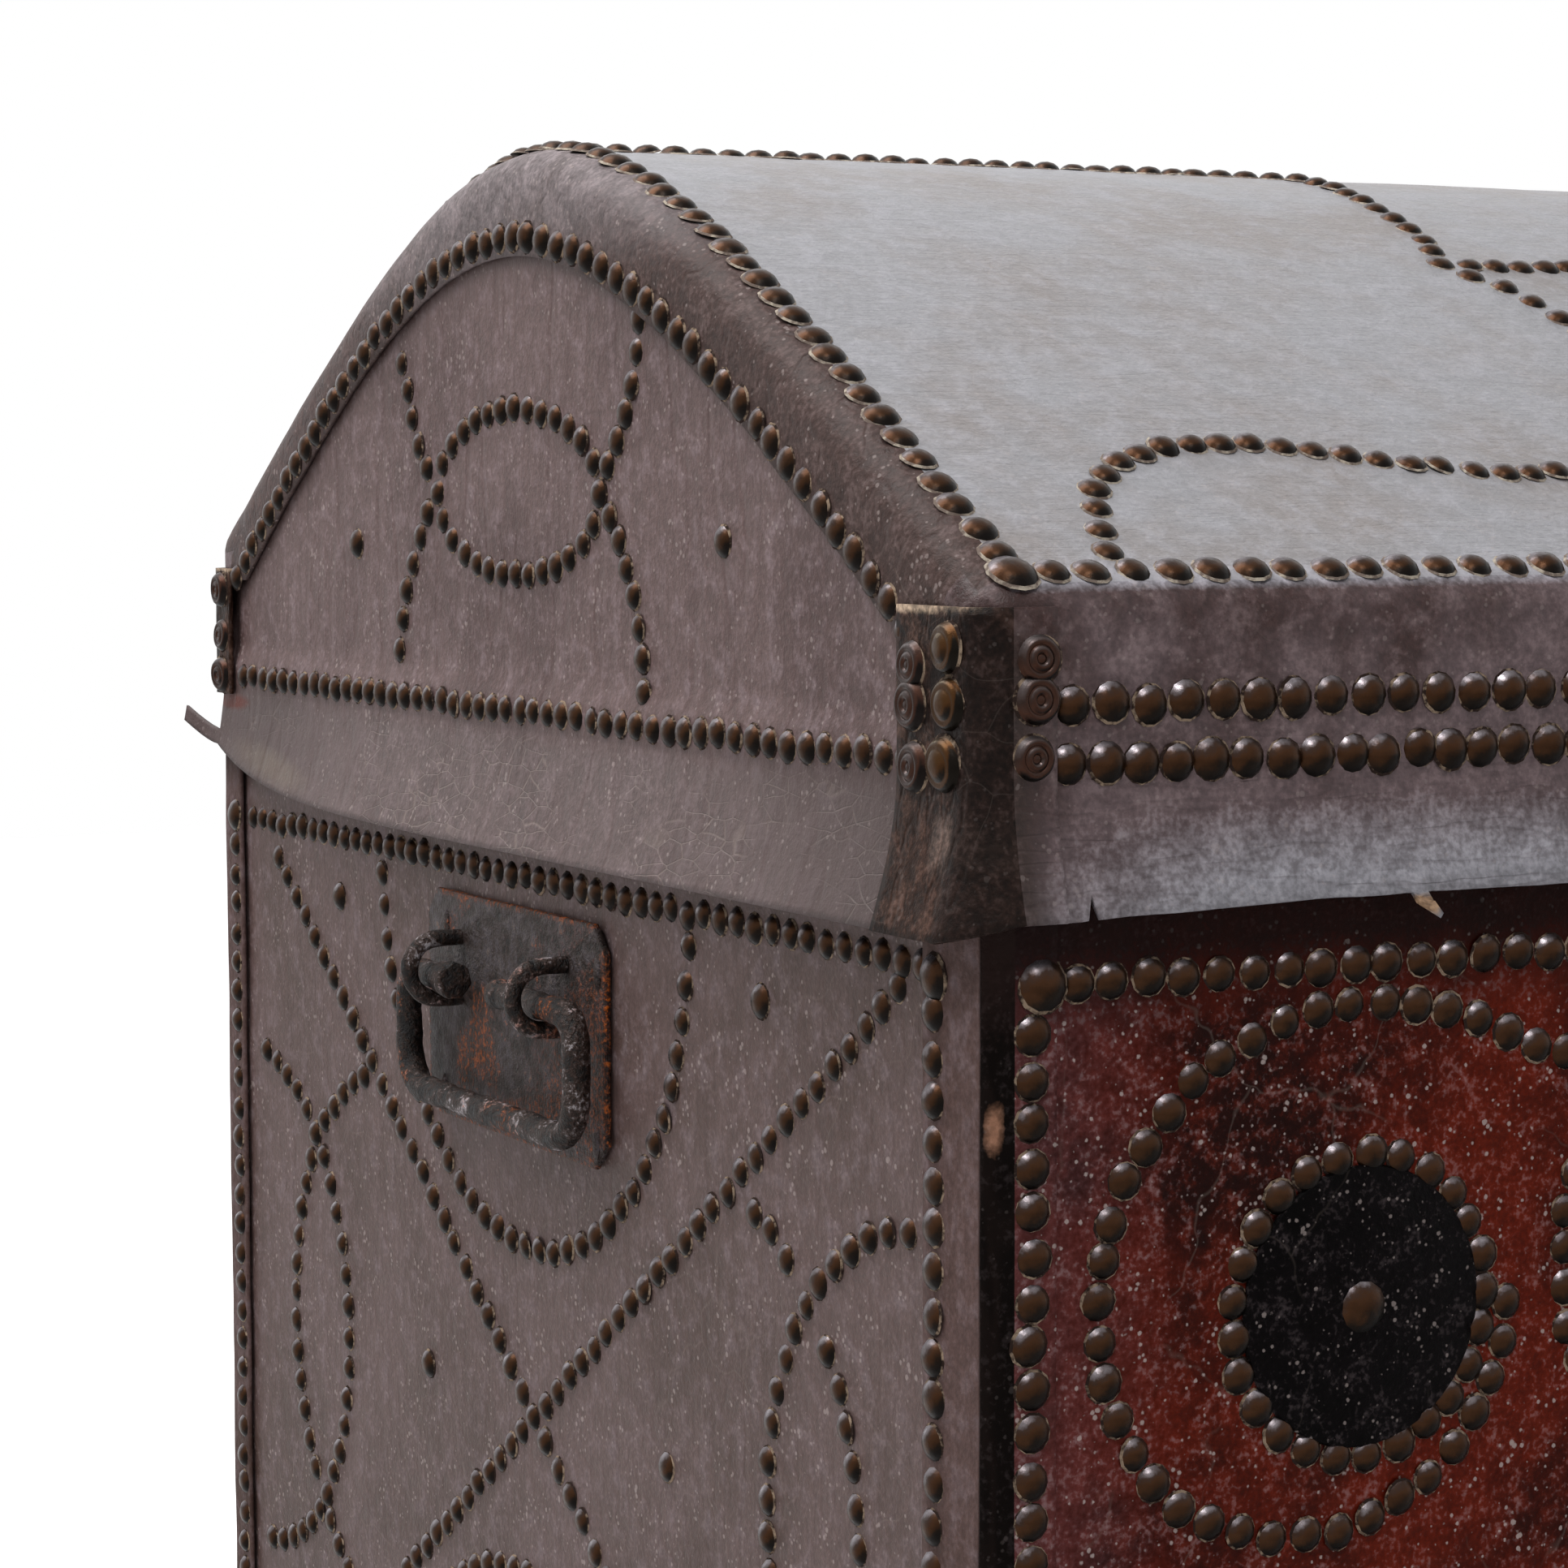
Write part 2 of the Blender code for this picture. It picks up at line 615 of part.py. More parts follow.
def make_front_skirt(leather, lid):
    """The leather that hangs from the front eave, a little lower beside the corners."""
    near = [FRONT_SKIRT_EASE * step / ARC_STEPS - CORNER_START_X for step in range(ARC_STEPS)]
    wide = [CORNER_START_X * (index / SKIRT_COLUMNS - 1) for index in range(SKIRT_COLUMNS)]
    left = near + [x for x in wide if x > FRONT_SKIRT_EASE - CORNER_START_X]
    columns = []
    for x in left + [0] + [-x for x in reversed(left)]:
        levels = hang_levels(COVER_LOW - SEAT_GAP, front_hem(x))
        columns.append([(x, -WALL_Y - out, z) for z, out in levels])
    leather_sheet("front_skirt", columns, SKIRT_LEATHER, leather, lid)


def make_corner_piece(name, side, facing, leather, lid):
    """A leather folded round one corner of the lid, over the skirts. The front ones run down to their hems."""
    front = facing < 0
    end_leg, long_leg = (CORNER_END_LEG, CORNER_FRONT_LEG) if front else (REAR_CORNER_LEG, REAR_CORNER_LEG)
    end_low, long_low = REAR_CORNER_HEM, REAR_CORNER_HEM
    if front:
        end_low, long_low = end_hem(-CORNER_START_Y), front_hem(CORNER_START_X)
    radius = CORNER_RADIUS - SKIRT_LEATHER
    turns = [math.pi / 2 * step / ARC_STEPS for step in range(ARC_STEPS + 1)]
    plan = [(CORNER_START_X + radius * math.cos(a), CORNER_START_Y + radius * math.sin(a), a) for a in turns]
    plan = [(WALL_X, HALF_DEPTH - end_leg, 0), *plan, (LID_HALF - long_leg, WALL_Y, math.pi / 2)]
    columns = []
    for index, (x, y, turn) in enumerate(plan):
        hem = end_low + (long_low - end_low) * turn / (math.pi / 2)
        spread = CORNER_END_SPREAD / SKIRT_FLARE if front and index == 0 else 0
        levels = hang_levels(COVER_LOW + CORNER_HEAD_LAP, hem, SKIRT_LEATHER + SEAT_GAP)
        columns.append([
            (side * (x + out * math.cos(turn)), facing * (y + out * math.sin(turn) - spread * hang(z)), z)
            for z, out in levels
        ])
    if side * facing < 0:
        columns.reverse()
    leather_sheet(name, columns, CORNER_LEATHER, leather, lid)


def make_lid_skirts(leather, dark_leather, lid):
    """Every leather that hangs from the lid or wraps its corners."""
    make_front_skirt(leather, lid)
    make_end_skirt("left_skirt", -1, leather, lid, torn=True)
    make_end_skirt("right_skirt", 1, leather, lid)
    for side_name, side in (("left", -1), ("right", 1)):
        for facing_name, facing in (("front", -1), ("rear", 1)):
            name = f"lid_{facing_name}_{side_name}_corner_piece"
            make_corner_piece(name, side, facing, dark_leather, lid)


PLATE_FACE = HALF_LENGTH - PANEL_OUT + SEAT_GAP + PLATE_THICKNESS
PLATE_MIDDLE = BASE_HEIGHT - HANDLE_DROP
EYE_MIDDLE = PLATE_MIDDLE + STAPLE_ABOVE_PLATE_MIDDLE
STAPLE_RADIUS = STAPLE_EYE_RADIUS + STAPLE_ROD / 2
BAIL_AXIS_X = PLATE_FACE + STAPLE_STANDOFF
BAIL_AXIS_Z = EYE_MIDDLE - STAPLE_EYE_RADIUS + BAIL_ROD / 2 + SEAT_GAP


def plate_outline():
    """The back plate's outline in depth and height, with cut corners."""
    half, tall, cut = PLATE_WIDTH / 2, PLATE_HEIGHT / 2, PLATE_CHAMFER
    quarter = [(half - cut, tall), (half, tall - cut)]
    points = quarter + [(y, -z) for y, z in reversed(quarter)]
    points += [(-y, -z) for y, z in quarter] + [(-y, z) for y, z in reversed(quarter)]
    return [(y + HANDLE_OFFSET, z + PLATE_MIDDLE) for y, z in points]


def staple_path(side, y):
    """Centre line of a staple: clenched inside, out through the board, round its eye and back again."""
    inside = HALF_LENGTH - BOARD_IN - SEAT_GAP - STAPLE_ROD / 2
    top, low = EYE_MIDDLE + STAPLE_RADIUS, EYE_MIDDLE - STAPLE_RADIUS
    upper = [(inside, y, top + STAPLE_CLENCH), (inside, y, top), (BAIL_AXIS_X, y, top)]
    run_in = rounded_path(upper, [STAPLE_BEND], steps=3)
    turns = [math.pi * step / (2 * ARC_STEPS) for step in range(1, 2 * ARC_STEPS)]
    eye = [(BAIL_AXIS_X + STAPLE_RADIUS * math.sin(a), y, EYE_MIDDLE + STAPLE_RADIUS * math.cos(a))
           for a in turns]
    lower = [(BAIL_AXIS_X, y, low), (inside, y, low), (inside, y, low - STAPLE_CLENCH)]
    run_out = rounded_path(lower, [STAPLE_BEND], steps=3)
    return [(side * x, y, z) for x, y, z in [*run_in, *eye, *run_out]]


def bail_path():
    """Centre line of the bail in depth and height from its axis, from one inner end to the other."""
    half, drop = BAIL_HALF_WIDTH, BAIL_DROP
    corners = [(0, BAIL_REAR_STUB_END, 0), (0, half, 0), (0, half, -drop), (0, -half, -drop),
               (0, -half, 0), (0, -BAIL_FRONT_STUB_END, 0)]
    return rounded_path(corners, [BAIL_TOP_BEND, BAIL_FOOT_BEND, BAIL_FOOT_BEND, BAIL_TOP_BEND])


def bail_heads():
    """The eight-sided ends that are hammered up on the bail so that it can't leave the staples."""
    outline = circle((0, 0), BAIL_HEAD_WIDTH / 2, 8, math.pi / 8)
    heads = []
    for end, turn in ((BAIL_REAR_STUB_END, 1), (-BAIL_FRONT_STUB_END, -1)):
        low, high = sorted((end, end + turn * BAIL_HEAD_LENGTH))
        heads.append(prism_y(outline, low, high))
    return heads


def make_handle(side_name, side, iron, pieces):
    """Back plate, two clenched staples and the bail that swings in them."""
    back, face = sorted((side * PLATE_FACE, side * (PLATE_FACE - PLATE_THICKNESS)))
    plate = mesh_object(f"{side_name}_handle_plate", prism_x(plate_outline(), back, face), iron)
    bevel = plate.modifiers.new("Filed edge", "BEVEL")
    bevel.width = PLATE_EDGE_BEVEL
    bevel.segments = 1
    bevel.limit_method = "ANGLE"
    for place_name, place in (("front", -1), ("rear", 1)):
        y = HANDLE_OFFSET + place * STAPLE_SPREAD
        rod(f"{side_name}_{place_name}_handle_staple", staple_path(side, y), STAPLE_ROD / 2, iron)
        for height in (EYE_MIDDLE + STAPLE_RADIUS, EYE_MIDDLE - STAPLE_RADIUS):
            radius = (STAPLE_ROD / 2 + HOLE_CLEARANCE) / math.cos(math.pi / HOLE_SIDES)
            ends = sorted((side * (HALF_LENGTH - BOARD_IN - CUT_OVERRUN), side * (PLATE_FACE + CUT_OVERRUN)))
            hole = mesh_object("staple_hole", prism_x(circle((y, height), radius, HOLE_SIDES), *ends), iron)
            for target in (plate, *pieces):
                combine(target, hidden(hole))
    make_bail(side_name, side, iron)


def make_bail(side_name, side, iron):
    """The swinging grip, with its origin on the line through the staples' eyes."""
    axis = (side * BAIL_AXIS_X, HANDLE_OFFSET, BAIL_AXIS_Z)
    guide = rod(f"{side_name}_bail_bar", bail_path(), BAIL_ROD / 2, iron)
    graph = bpy.context.evaluated_depsgraph_get()
    mesh = bpy.data.meshes.new_from_object(guide.evaluated_get(graph))
    bpy.data.objects.remove(guide)
    weld = bmesh.new()
    weld.from_mesh(mesh)
    bmesh.ops.remove_doubles(weld, verts=weld.verts, dist=SEAT_GAP / 10)
    bail = mesh_object(f"{side_name}_handle_bail", weld, iron)
    bail.location = axis
    for head in bail_heads():
        tool = hidden(mesh_object("bail_head", head, iron))
        tool.location = axis
        combine(bail, tool, "UNION")
    return bail


HINGE_AXIS_Y = HALF_DEPTH + KNUCKLE_STANDOFF + KNUCKLE_RADIUS
HINGE_AXIS_Z = LID_JOINT - SEAT_GAP / 2


def strap_outline(x, root, reach):
    """A hinge strap in length and height: square at its root, tapering to a round tip."""
    turn = 1 if reach > 0 else -1
    tip = HINGE_TIP_WIDTH / 2
    centre = root + reach - turn * tip
    arc = [math.pi * step / (2 * ARC_STEPS) for step in range(2 * ARC_STEPS + 1)]
    points = [(x - HINGE_WIDTH / 2, root), (x + HINGE_WIDTH / 2, root)]
    return points + [(x + tip * math.cos(a), centre + turn * tip * math.sin(a)) for a in arc]


def neck_outline(root, inner_face, turn):
    """Section of the iron between a leaf and its knuckle: turn is 1 above the hinge's axis and -1 below it."""
    outer_face = inner_face + HINGE_PLATE
    shoulder = HINGE_AXIS_Z + turn * KNUCKLE_RADIUS
    foot = root + turn * HINGE_PLATE
    return [(inner_face, HINGE_AXIS_Z), (HINGE_AXIS_Y, HINGE_AXIS_Z), (HINGE_AXIS_Y, shoulder),
            (outer_face, shoulder), (outer_face, foot), (inner_face, foot)]


def make_strap(name, x, root, reach, inner_face, spans, iron, parent):
    """One leaf of a hinge with its knuckles, bored for the pin."""
    leaf = prism_y(strap_outline(x, root, reach), inner_face, inner_face + HINGE_PLATE)
    made = mesh_object(name, leaf, iron, parent)
    centre = HINGE_AXIS_Y, HINGE_AXIS_Z
    sections = circle(centre, KNUCKLE_RADIUS, ROUND_SIDES), neck_outline(root, inner_face, math.copysign(1, reach))
    for low, high in spans:
        for section in sections:
            form = mesh_object(f"{name}_knuckle_form", prism_x(section, low, high), iron)
            combine(made, hidden(form), "UNION")
    bore = circle(centre, KNUCKLE_BORE / math.cos(math.pi / ROUND_SIDES), ROUND_SIDES)
    ends = x - HINGE_WIDTH / 2 - CUT_OVERRUN, x + HINGE_WIDTH / 2 + CUT_OVERRUN
    combine(made, hidden(mesh_object(f"{name}_pin_bore", prism_x(bore, *ends), iron)))


def make_hinges(iron, lid):
    """Two strap hinges: the lower leaves and pins on the base, the upper leaves on the lid."""
    half, middle = HINGE_WIDTH / 2, HINGE_WIDTH * MIDDLE_KNUCKLE_SHARE / 2
    clear = KNUCKLE_RADIUS + KNUCKLE_GAP
    lower_face = HALF_DEPTH - PANEL_OUT + SEAT_GAP
    upper_face = HALF_DEPTH + SEAT_GAP
    for name, x in (("left", -HINGE_SPACING / 2), ("right", HINGE_SPACING / 2)):
        outer_spans = [(x - half, x - middle - KNUCKLE_GAP), (x + middle + KNUCKLE_GAP, x + half)]
        root = HINGE_AXIS_Z - KNUCKLE_RADIUS
        make_strap(f"{name}_hinge_lower_strap", x, root, -LOWER_STRAP, lower_face, outer_spans, iron, None)
        root = HINGE_AXIS_Z + clear
        inner_span = [(x - middle, x + middle)]
        make_strap(f"{name}_hinge_upper_strap", x, root, UPPER_STRAP, upper_face, inner_span, iron, lid)
        make_pin(f"{name}_hinge_pin", x, half, iron)


def make_pin(name, x, half, iron):
    """A hinge pin with a flat head at each end."""
    centre = HINGE_AXIS_Y, HINGE_AXIS_Z
    shank = circle(centre, PIN_RADIUS, ROUND_SIDES)
    head = circle(centre, PIN_HEAD_RADIUS, ROUND_SIDES)
    near, far = half + KNUCKLE_GAP, half + KNUCKLE_GAP + PIN_HEAD_LENGTH
    stations = [(-far, head), (-near, head), (-near, shank), (near, shank), (near, head), (far, head)]
    mesh_object(name, loft([[(x + along, y, z) for y, z in ring] for along, ring in stations]), iron)


def keyhole_outline(x, z):
    """Keyhole in length and height: a round eye over a slot."""
    half = KEYHOLE_SLOT_WIDTH / 2
    start = -math.acos(half / KEYHOLE_RADIUS)
    sweep = math.pi - 2 * start
    turns = [start + sweep * step / HOLE_SIDES for step in range(HOLE_SIDES + 1)]
    eye = [(x + KEYHOLE_RADIUS * math.cos(a), z + KEYHOLE_RADIUS * math.sin(a)) for a in turns]
    return eye + [(x - half, z - KEYHOLE_SLOT_LENGTH), (x + half, z - KEYHOLE_SLOT_LENGTH)]


def escutcheon_outline(z):
    """A plain shield: straight sides, a shallow arched head and a pointed foot."""
    half, tall = ESCUTCHEON_WIDTH / 2, ESCUTCHEON_HEIGHT / 2
    turns = [math.pi * step / (2 * ARC_STEPS) for step in range(2 * ARC_STEPS + 1)]
    head = [(half * math.cos(a), tall / 2 + tall / 2 * math.sin(a)) for a in turns]
    foot = [(-half * math.cos(a), -tall * math.sin(a)) for a in turns[1:-1]]
    return [(x, z + up) for x, up in head + foot]


CASE_BACK = BOARD_IN + SEAT_GAP - HALF_DEPTH
CASE_FRONT = CASE_BACK + CASE_DEPTH
CASE_TOP = BASE_HEIGHT - LOCK_DROP
CASE_LOW = CASE_TOP - CASE_HEIGHT
BOLT_TOP = CASE_TOP - CASE_WALL - SEAT_GAP
BOLT_LOW = BOLT_TOP - BOLT_HEIGHT
BOLT_MIDDLE = (CASE_BACK + CASE_FRONT - CASE_WALL) / 2
EYE_REACH = BOLT_NOSE_THICKNESS / 2 + LINK_CLEARANCE
LINK_REACH = EYE_REACH + LINK_IRON
LINK_LOW = BOLT_LOW - LINK_CLEARANCE - LINK_IRON


def make_lock(iron, lid, front_board, front_leather):
    """Chest lock: an open-backed case inside the front board, its sliding bolt, and the lid's link."""
    keyhole_height = BASE_HEIGHT - KEYHOLE_DROP
    span = -HALF_DEPTH - CUT_OVERRUN, CASE_BACK + CUT_OVERRUN
    keyhole = hidden(mesh_object("keyhole", prism_y(keyhole_outline(0, keyhole_height), *span), iron))
    face = PANEL_OUT - HALF_DEPTH - SEAT_GAP
    shield_outline = escutcheon_outline(keyhole_height - KEYHOLE_SLOT_LENGTH / 2)
    shield = mesh_object("lock_escutcheon", prism_y(shield_outline, face - ESCUTCHEON_THICKNESS, face), iron)
    for target in (shield, front_board, front_leather):
        combine(target, keyhole)
    make_lock_case(iron)
    make_lock_bolt(iron)
    make_link(iron, lid)


def make_lock_case(iron):
    """The case, open to the board: its top wall and a shelf guide the bolt, and a notch admits the link."""
    half, inside = CASE_WIDTH / 2, CASE_FRONT - CASE_WALL
    case = mesh_object("lock_case", block((-half, CASE_BACK, CASE_LOW), (half, CASE_FRONT, CASE_TOP)), iron)
    shelf = BOLT_LOW - SEAT_GAP
    open_side = CASE_BACK - CUT_OVERRUN
    notch = LINK_THICKNESS / 2 + SLOT_CLEARANCE
    deep = min(BOLT_MIDDLE + LINK_REACH + SLOT_CLEARANCE, inside)
    cuts = (
        block((CASE_WALL - half, open_side, shelf), (half - CASE_WALL, inside, CASE_TOP - CASE_WALL)),
        block((CASE_WALL - half, open_side, CASE_LOW + CASE_WALL), (half - CASE_WALL, inside, shelf - BOLT_SHELF)),
        block((-notch, open_side, shelf - BOLT_SHELF - CASE_WALL), (notch, deep, CASE_TOP + CUT_OVERRUN)),
    )
    for cut in cuts:
        combine(case, hidden(mesh_object("case_cut", cut, iron)))


def make_lock_bolt(iron):
    """The bolt, drawn back: a broad body that fills the case and a narrow nose that enters the link."""
    end = -LINK_THICKNESS / 2 - BOLT_REST_CLEARANCE
    shoulder, tail = end - BOLT_NOSE_LENGTH, end - BOLT_LENGTH
    wide_low, wide_high = CASE_BACK + SEAT_GAP, CASE_FRONT - CASE_WALL - SEAT_GAP
    thin_low, thin_high = (BOLT_MIDDLE + turn * BOLT_NOSE_THICKNESS / 2 for turn in (-1, 1))
    outline = [(tail, wide_low), (shoulder, wide_low), (shoulder, thin_low), (end, thin_low),
               (end, thin_high), (shoulder, thin_high), (shoulder, wide_high), (tail, wide_high)]
    mesh_object("lock_bolt", prism_z(outline, BOLT_LOW, BOLT_TOP), iron)


def make_link(iron, lid):
    """The plate on the inside of the lid's front rail, with the eye that the bolt enters."""
    rail_face = PANEL_OUT + BOARD_THICKNESS - HALF_DEPTH + SEAT_GAP
    half, low = LINK_PLATE_WIDTH / 2, LID_JOINT + RIM_MARGIN
    plate = block((-half, rail_face, low), (half, rail_face + LINK_PLATE, low + LINK_PLATE_HEIGHT))
    made = mesh_object("lock_link_plate", plate, iron, lid)
    root = rail_face + LINK_PLATE / 2
    near, far = BOLT_MIDDLE - LINK_REACH, BOLT_MIDDLE + LINK_REACH
    outline = [(root, low), (near, low), (near, LINK_LOW), (far, LINK_LOW),
               (far, low + LINK_SHOULDER), (root, low + LINK_SHOULDER)]
    thick = LINK_THICKNESS / 2
    combine(made, hidden(mesh_object("link_tongue", prism_x(outline, -thick, thick), iron)), "UNION")
    across = thick + CUT_OVERRUN
    eye = block((-across, BOLT_MIDDLE - EYE_REACH, BOLT_LOW - LINK_CLEARANCE),
                (across, BOLT_MIDDLE + EYE_REACH, BOLT_TOP + LINK_CLEARANCE))
    combine(made, hidden(mesh_object("link_eye", eye, iron)))


def main():
    for old in list(bpy.data.objects):
        bpy.data.objects.remove(old)
    wood = surface("aged pine", (0.32, 0.19, 0.09), 0.8)
    brown = surface("brown leather", (0.115, 0.078, 0.068), 0.6)
    dark = surface("dark worn leather", (0.06, 0.038, 0.033), 0.55)
    red = surface("red-brown leather", (0.10, 0.022, 0.014), 0.5)
    iron = surface("forged iron", (0.05, 0.042, 0.040), 0.6, 0.8)
    lid = bpy.data.objects.new("lid_hinge_axis", None)
    lid.location = (0, HINGE_AXIS_Y, HINGE_AXIS_Z)
    bpy.context.scene.collection.objects.link(lid)
    boards = make_carcass(wood)
    panels = make_panels(red, brown)
    make_bindings(dark)
    make_lid_frame(wood, lid)
    make_lid_leather(brown, lid)
    make_lid_skirts(brown, dark, lid)
    for side_name, side in (("left", -1), ("right", 1)):
        holed = boards[f"{side_name}_end_board"], panels[f"{side_name}_end_leather"]
        make_handle(side_name, side, iron, holed)
    make_hinges(iron, lid)
    make_lock(iron, lid, boards["front_board"], panels["front_leather"])


main()
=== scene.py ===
"""Dome-topped travelling trunk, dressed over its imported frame: nailed leathers, brass-headed nails and forged iron."""

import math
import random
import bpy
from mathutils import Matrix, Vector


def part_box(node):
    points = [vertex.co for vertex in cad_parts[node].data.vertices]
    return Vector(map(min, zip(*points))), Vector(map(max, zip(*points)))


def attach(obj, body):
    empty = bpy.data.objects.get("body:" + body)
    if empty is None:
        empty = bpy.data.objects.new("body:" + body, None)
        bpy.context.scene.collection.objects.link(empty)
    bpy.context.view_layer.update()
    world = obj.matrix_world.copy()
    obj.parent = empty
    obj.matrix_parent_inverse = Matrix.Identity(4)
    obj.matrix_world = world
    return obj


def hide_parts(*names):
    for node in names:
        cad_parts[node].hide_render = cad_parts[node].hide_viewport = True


bl_info = {
    "name": "Dome-topped travelling trunk",
    "version": (1, 0, 0),
    "blender": (4, 5, 0),
    "location": "3D View > Sidebar > Trunk",
    "description": "Dresses the trunk's solids with nailed leather, brass-headed nails and forged iron",
    "category": "Add Mesh",
}

import bmesh
import bpy
from mathutils import Matrix, Vector, noise

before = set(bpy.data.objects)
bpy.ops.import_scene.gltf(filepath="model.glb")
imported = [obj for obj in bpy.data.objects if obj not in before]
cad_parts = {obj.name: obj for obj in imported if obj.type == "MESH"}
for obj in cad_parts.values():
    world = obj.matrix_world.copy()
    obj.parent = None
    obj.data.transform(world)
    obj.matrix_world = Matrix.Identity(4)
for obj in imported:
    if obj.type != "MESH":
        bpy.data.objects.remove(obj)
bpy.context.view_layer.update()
SIDES = {"left": -1, "right": 1}
FACINGS = {"front": -1, "rear": 1}

# Places that the solids give, in metres
HALF_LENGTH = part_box("front_right_corner_strip")[1].x
HALF_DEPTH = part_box("lid_cover_leather")[1].y
LID_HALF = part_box("lid_cover_leather")[1].x
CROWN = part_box("lid_cover_leather")[1].z
COVER_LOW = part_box("lid_cover_leather")[0].z
PANEL_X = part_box("right_end_leather")[1].x
PANEL_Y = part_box("back_leather")[1].y
PANEL_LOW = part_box("front_leather")[0].z
PANEL_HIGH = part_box("front_leather")[1].z
GABLE_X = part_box("right_gable_leather")[1].x
GABLE_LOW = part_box("right_gable_leather")[0].z
SKIRT_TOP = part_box("right_skirt")[1].z
STRIP_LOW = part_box("front_right_corner_strip")[0].z
STRIP_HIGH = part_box("front_right_corner_strip")[1].z
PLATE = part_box("left_handle_plate")

# The lid's section: a round crown whose flanks run almost straight to rounded eaves, and the edge of the hide that is
# turned over a gable
CROWN_SHIFT = 0.007
CROWN_BREADTH = 0.117
FLANK = 0.07854
EAVE_RADIUS = 0.012
END_RADIUS = 0.012
REACH = {-1: 0.287, 1: 0.273}
WINDOW_CROWN = CROWN - 0.033
WINDOW_SHIFT = 0.009
WINDOW_BREADTH = 0.156
WINDOW_FLANK = 0.1243

# How the lid's leathers hang past the joint
SKIRT_BEND = 0.4043
SKIRT_DROP = 0.040
SKIRT_FLARE = 0.008
FLARE_POWER = 1.7
END_HEM = 0.3643
REAR_LIFT = 0.017
REAR_LIFT_POWER = 10
FRONT_HEM = 0.3710
FRONT_CORNER_DROP = 0.002
FRONT_EASE = 0.110
# The notch in the front hem and the scrap torn from it
NOTCH_X = -0.5120
NOTCH_HALF = 0.0018
NOTCH_DEPTH = 0.0060
SCRAP_X = -0.4123
SCRAP_HALF = 0.0022
# Leathers folded round the lid's corners
CORNER_X = 0.5345
CORNER_Y = 0.273
CORNER_RADIUS = 0.005
CORNER_LIFT = 0.0041
CORNER_TOP = COVER_LOW + 0.004
CORNER_END_LEG = 0.038
CORNER_FRONT_LEG = 0.021
REAR_CORNER_LEG = 0.020
REAR_CORNER_HEM = 0.4003
COVER_THICKNESS = 0.002
CORNER_RIPPLE = 0.0004
# The strip that curls out from the rear of an end skirt
TAIL_LENGTH = 0.020
TAIL_WIDTH = 0.006
TAIL_RISE = 0.008
TAIL_CURL = 0.006

# Where the lid's hide changes: at its arris, down its front and back, on its turn over a gable, and below the eaves,
# where it hangs in this many rows
ARRIS_Z = 0.4535
WALL_Y = 0.262
TURN_X = 0.5295
FLAP_Z = 0.418
FLAP_ROWS = 12
# Below this height a gable's leather has closer rows, because it bends there
GABLE_FINE = 0.414
# The strap hinges are this far from the middle, with no nails over them
HINGE_X = 0.31

# Leather strips on the corners of the base
STRIP_RADIUS = 0.004
STRIP_END_LEG = 0.031
STRIP_FRONT_LEG = 0.021
STRIP_REAR_LEG = 0.020

# The forged handle
BAIL_X = 0.5485
BAIL_Z = 0.31955
HANDLE_Y = 0.009
BAIL_ROD = 0.0085
BAIL_HALF_WIDTH = 0.0657
BAIL_DROP = 0.038
BAIL_HEAD_Y = 0.0325
STAPLE_SPREAD = 0.041
STAPLE_ROD = 0.0055
STAPLE_RADIUS = 0.00975
STAPLE_Z = 0.322
STAPLE_INNER_X = 0.5165
PLATE_RIVETS = [(0.0525, 0.0255), (-0.0640, 0.0225), (-0.0625, -0.0290), (0.0560, -0.0285)]

# The photograph's camera, fitted to the trunk's edges: its place, its pan, tilt and roll in degrees, and its lens
CAMERA_PLACE = (-1.01275, -1.07922, 0.47565)
CAMERA_TURNS = (27.58, 4.45, 0.16)
CAMERA_LENS = 87.58

# A nail's painted highlight lies on the side that faces this way: up, and towards the wall behind the trunk
PAINTED_LIGHT_FROM = Vector((-0.3, 0.55, 0.78)).normalized()


def linear(code):
    """A hex colour as the linear values that Blender's colours hold."""
    parts = [int(code[i : i + 2], 16) / 255 for i in (1, 3, 5)]
    return tuple(v / 12.92 if v <= 0.04045 else ((v + 0.055) / 1.055) ** 2.4 for v in parts)


def ease(share):
    """Smooth step from 0 to 1."""
    share = min(max(share, 0), 1)
    return share * share * (3 - 2 * share)


# Shapes of the trunk's surfaces


def dome_height(v):
    """Height of the hide at v behind the crown line."""
    return CROWN - FLANK * (math.hypot(1, v / CROWN_BREADTH) - 1)


def dome_normal(v):
    """Outward direction of the dome at v behind the crown line, as (depth, height)."""
    slope = -FLANK * v / CROWN_BREADTH**2 / math.hypot(1, v / CROWN_BREADTH)
    size = math.hypot(slope, 1)
    return -slope / size, 1 / size


def eave(facing):
    """(distance of the eave's tangent, distance and height of the rounding's middle) from the crown line."""
    out = REACH[facing]
    for _ in range(50):
        out = REACH[facing] - EAVE_RADIUS * (1 - dome_normal(out)[0])
    across, up = dome_normal(out)
    return out, out - EAVE_RADIUS * across, dome_height(out) - EAVE_RADIUS * up


def hang(z):
    """How far out of its wall a hanging leather lies at height z."""
    return SKIRT_FLARE * (max(SKIRT_BEND - z, 0) / SKIRT_DROP) ** FLARE_POWER


def end_hem(y):
    """Height of an end skirt's hem at depth y: level, then lifting towards the rear."""
    return END_HEM + REAR_LIFT * ((1 + min(y / CORNER_Y, 1)) / 2) ** REAR_LIFT_POWER


def front_hem(x):
    """Height of the front skirt's hem: level, a little lower beside the corners, worn uneven and cut once."""
    worn = 0.0005 * noise.noise(Vector((x * 55, 3, 0)))
    notch = NOTCH_DEPTH * max(0, 1 - abs(x - NOTCH_X) / NOTCH_HALF)
    return FRONT_HEM - FRONT_CORNER_DROP * (1 - ease((CORNER_X - abs(x)) / FRONT_EASE)) + worn + notch


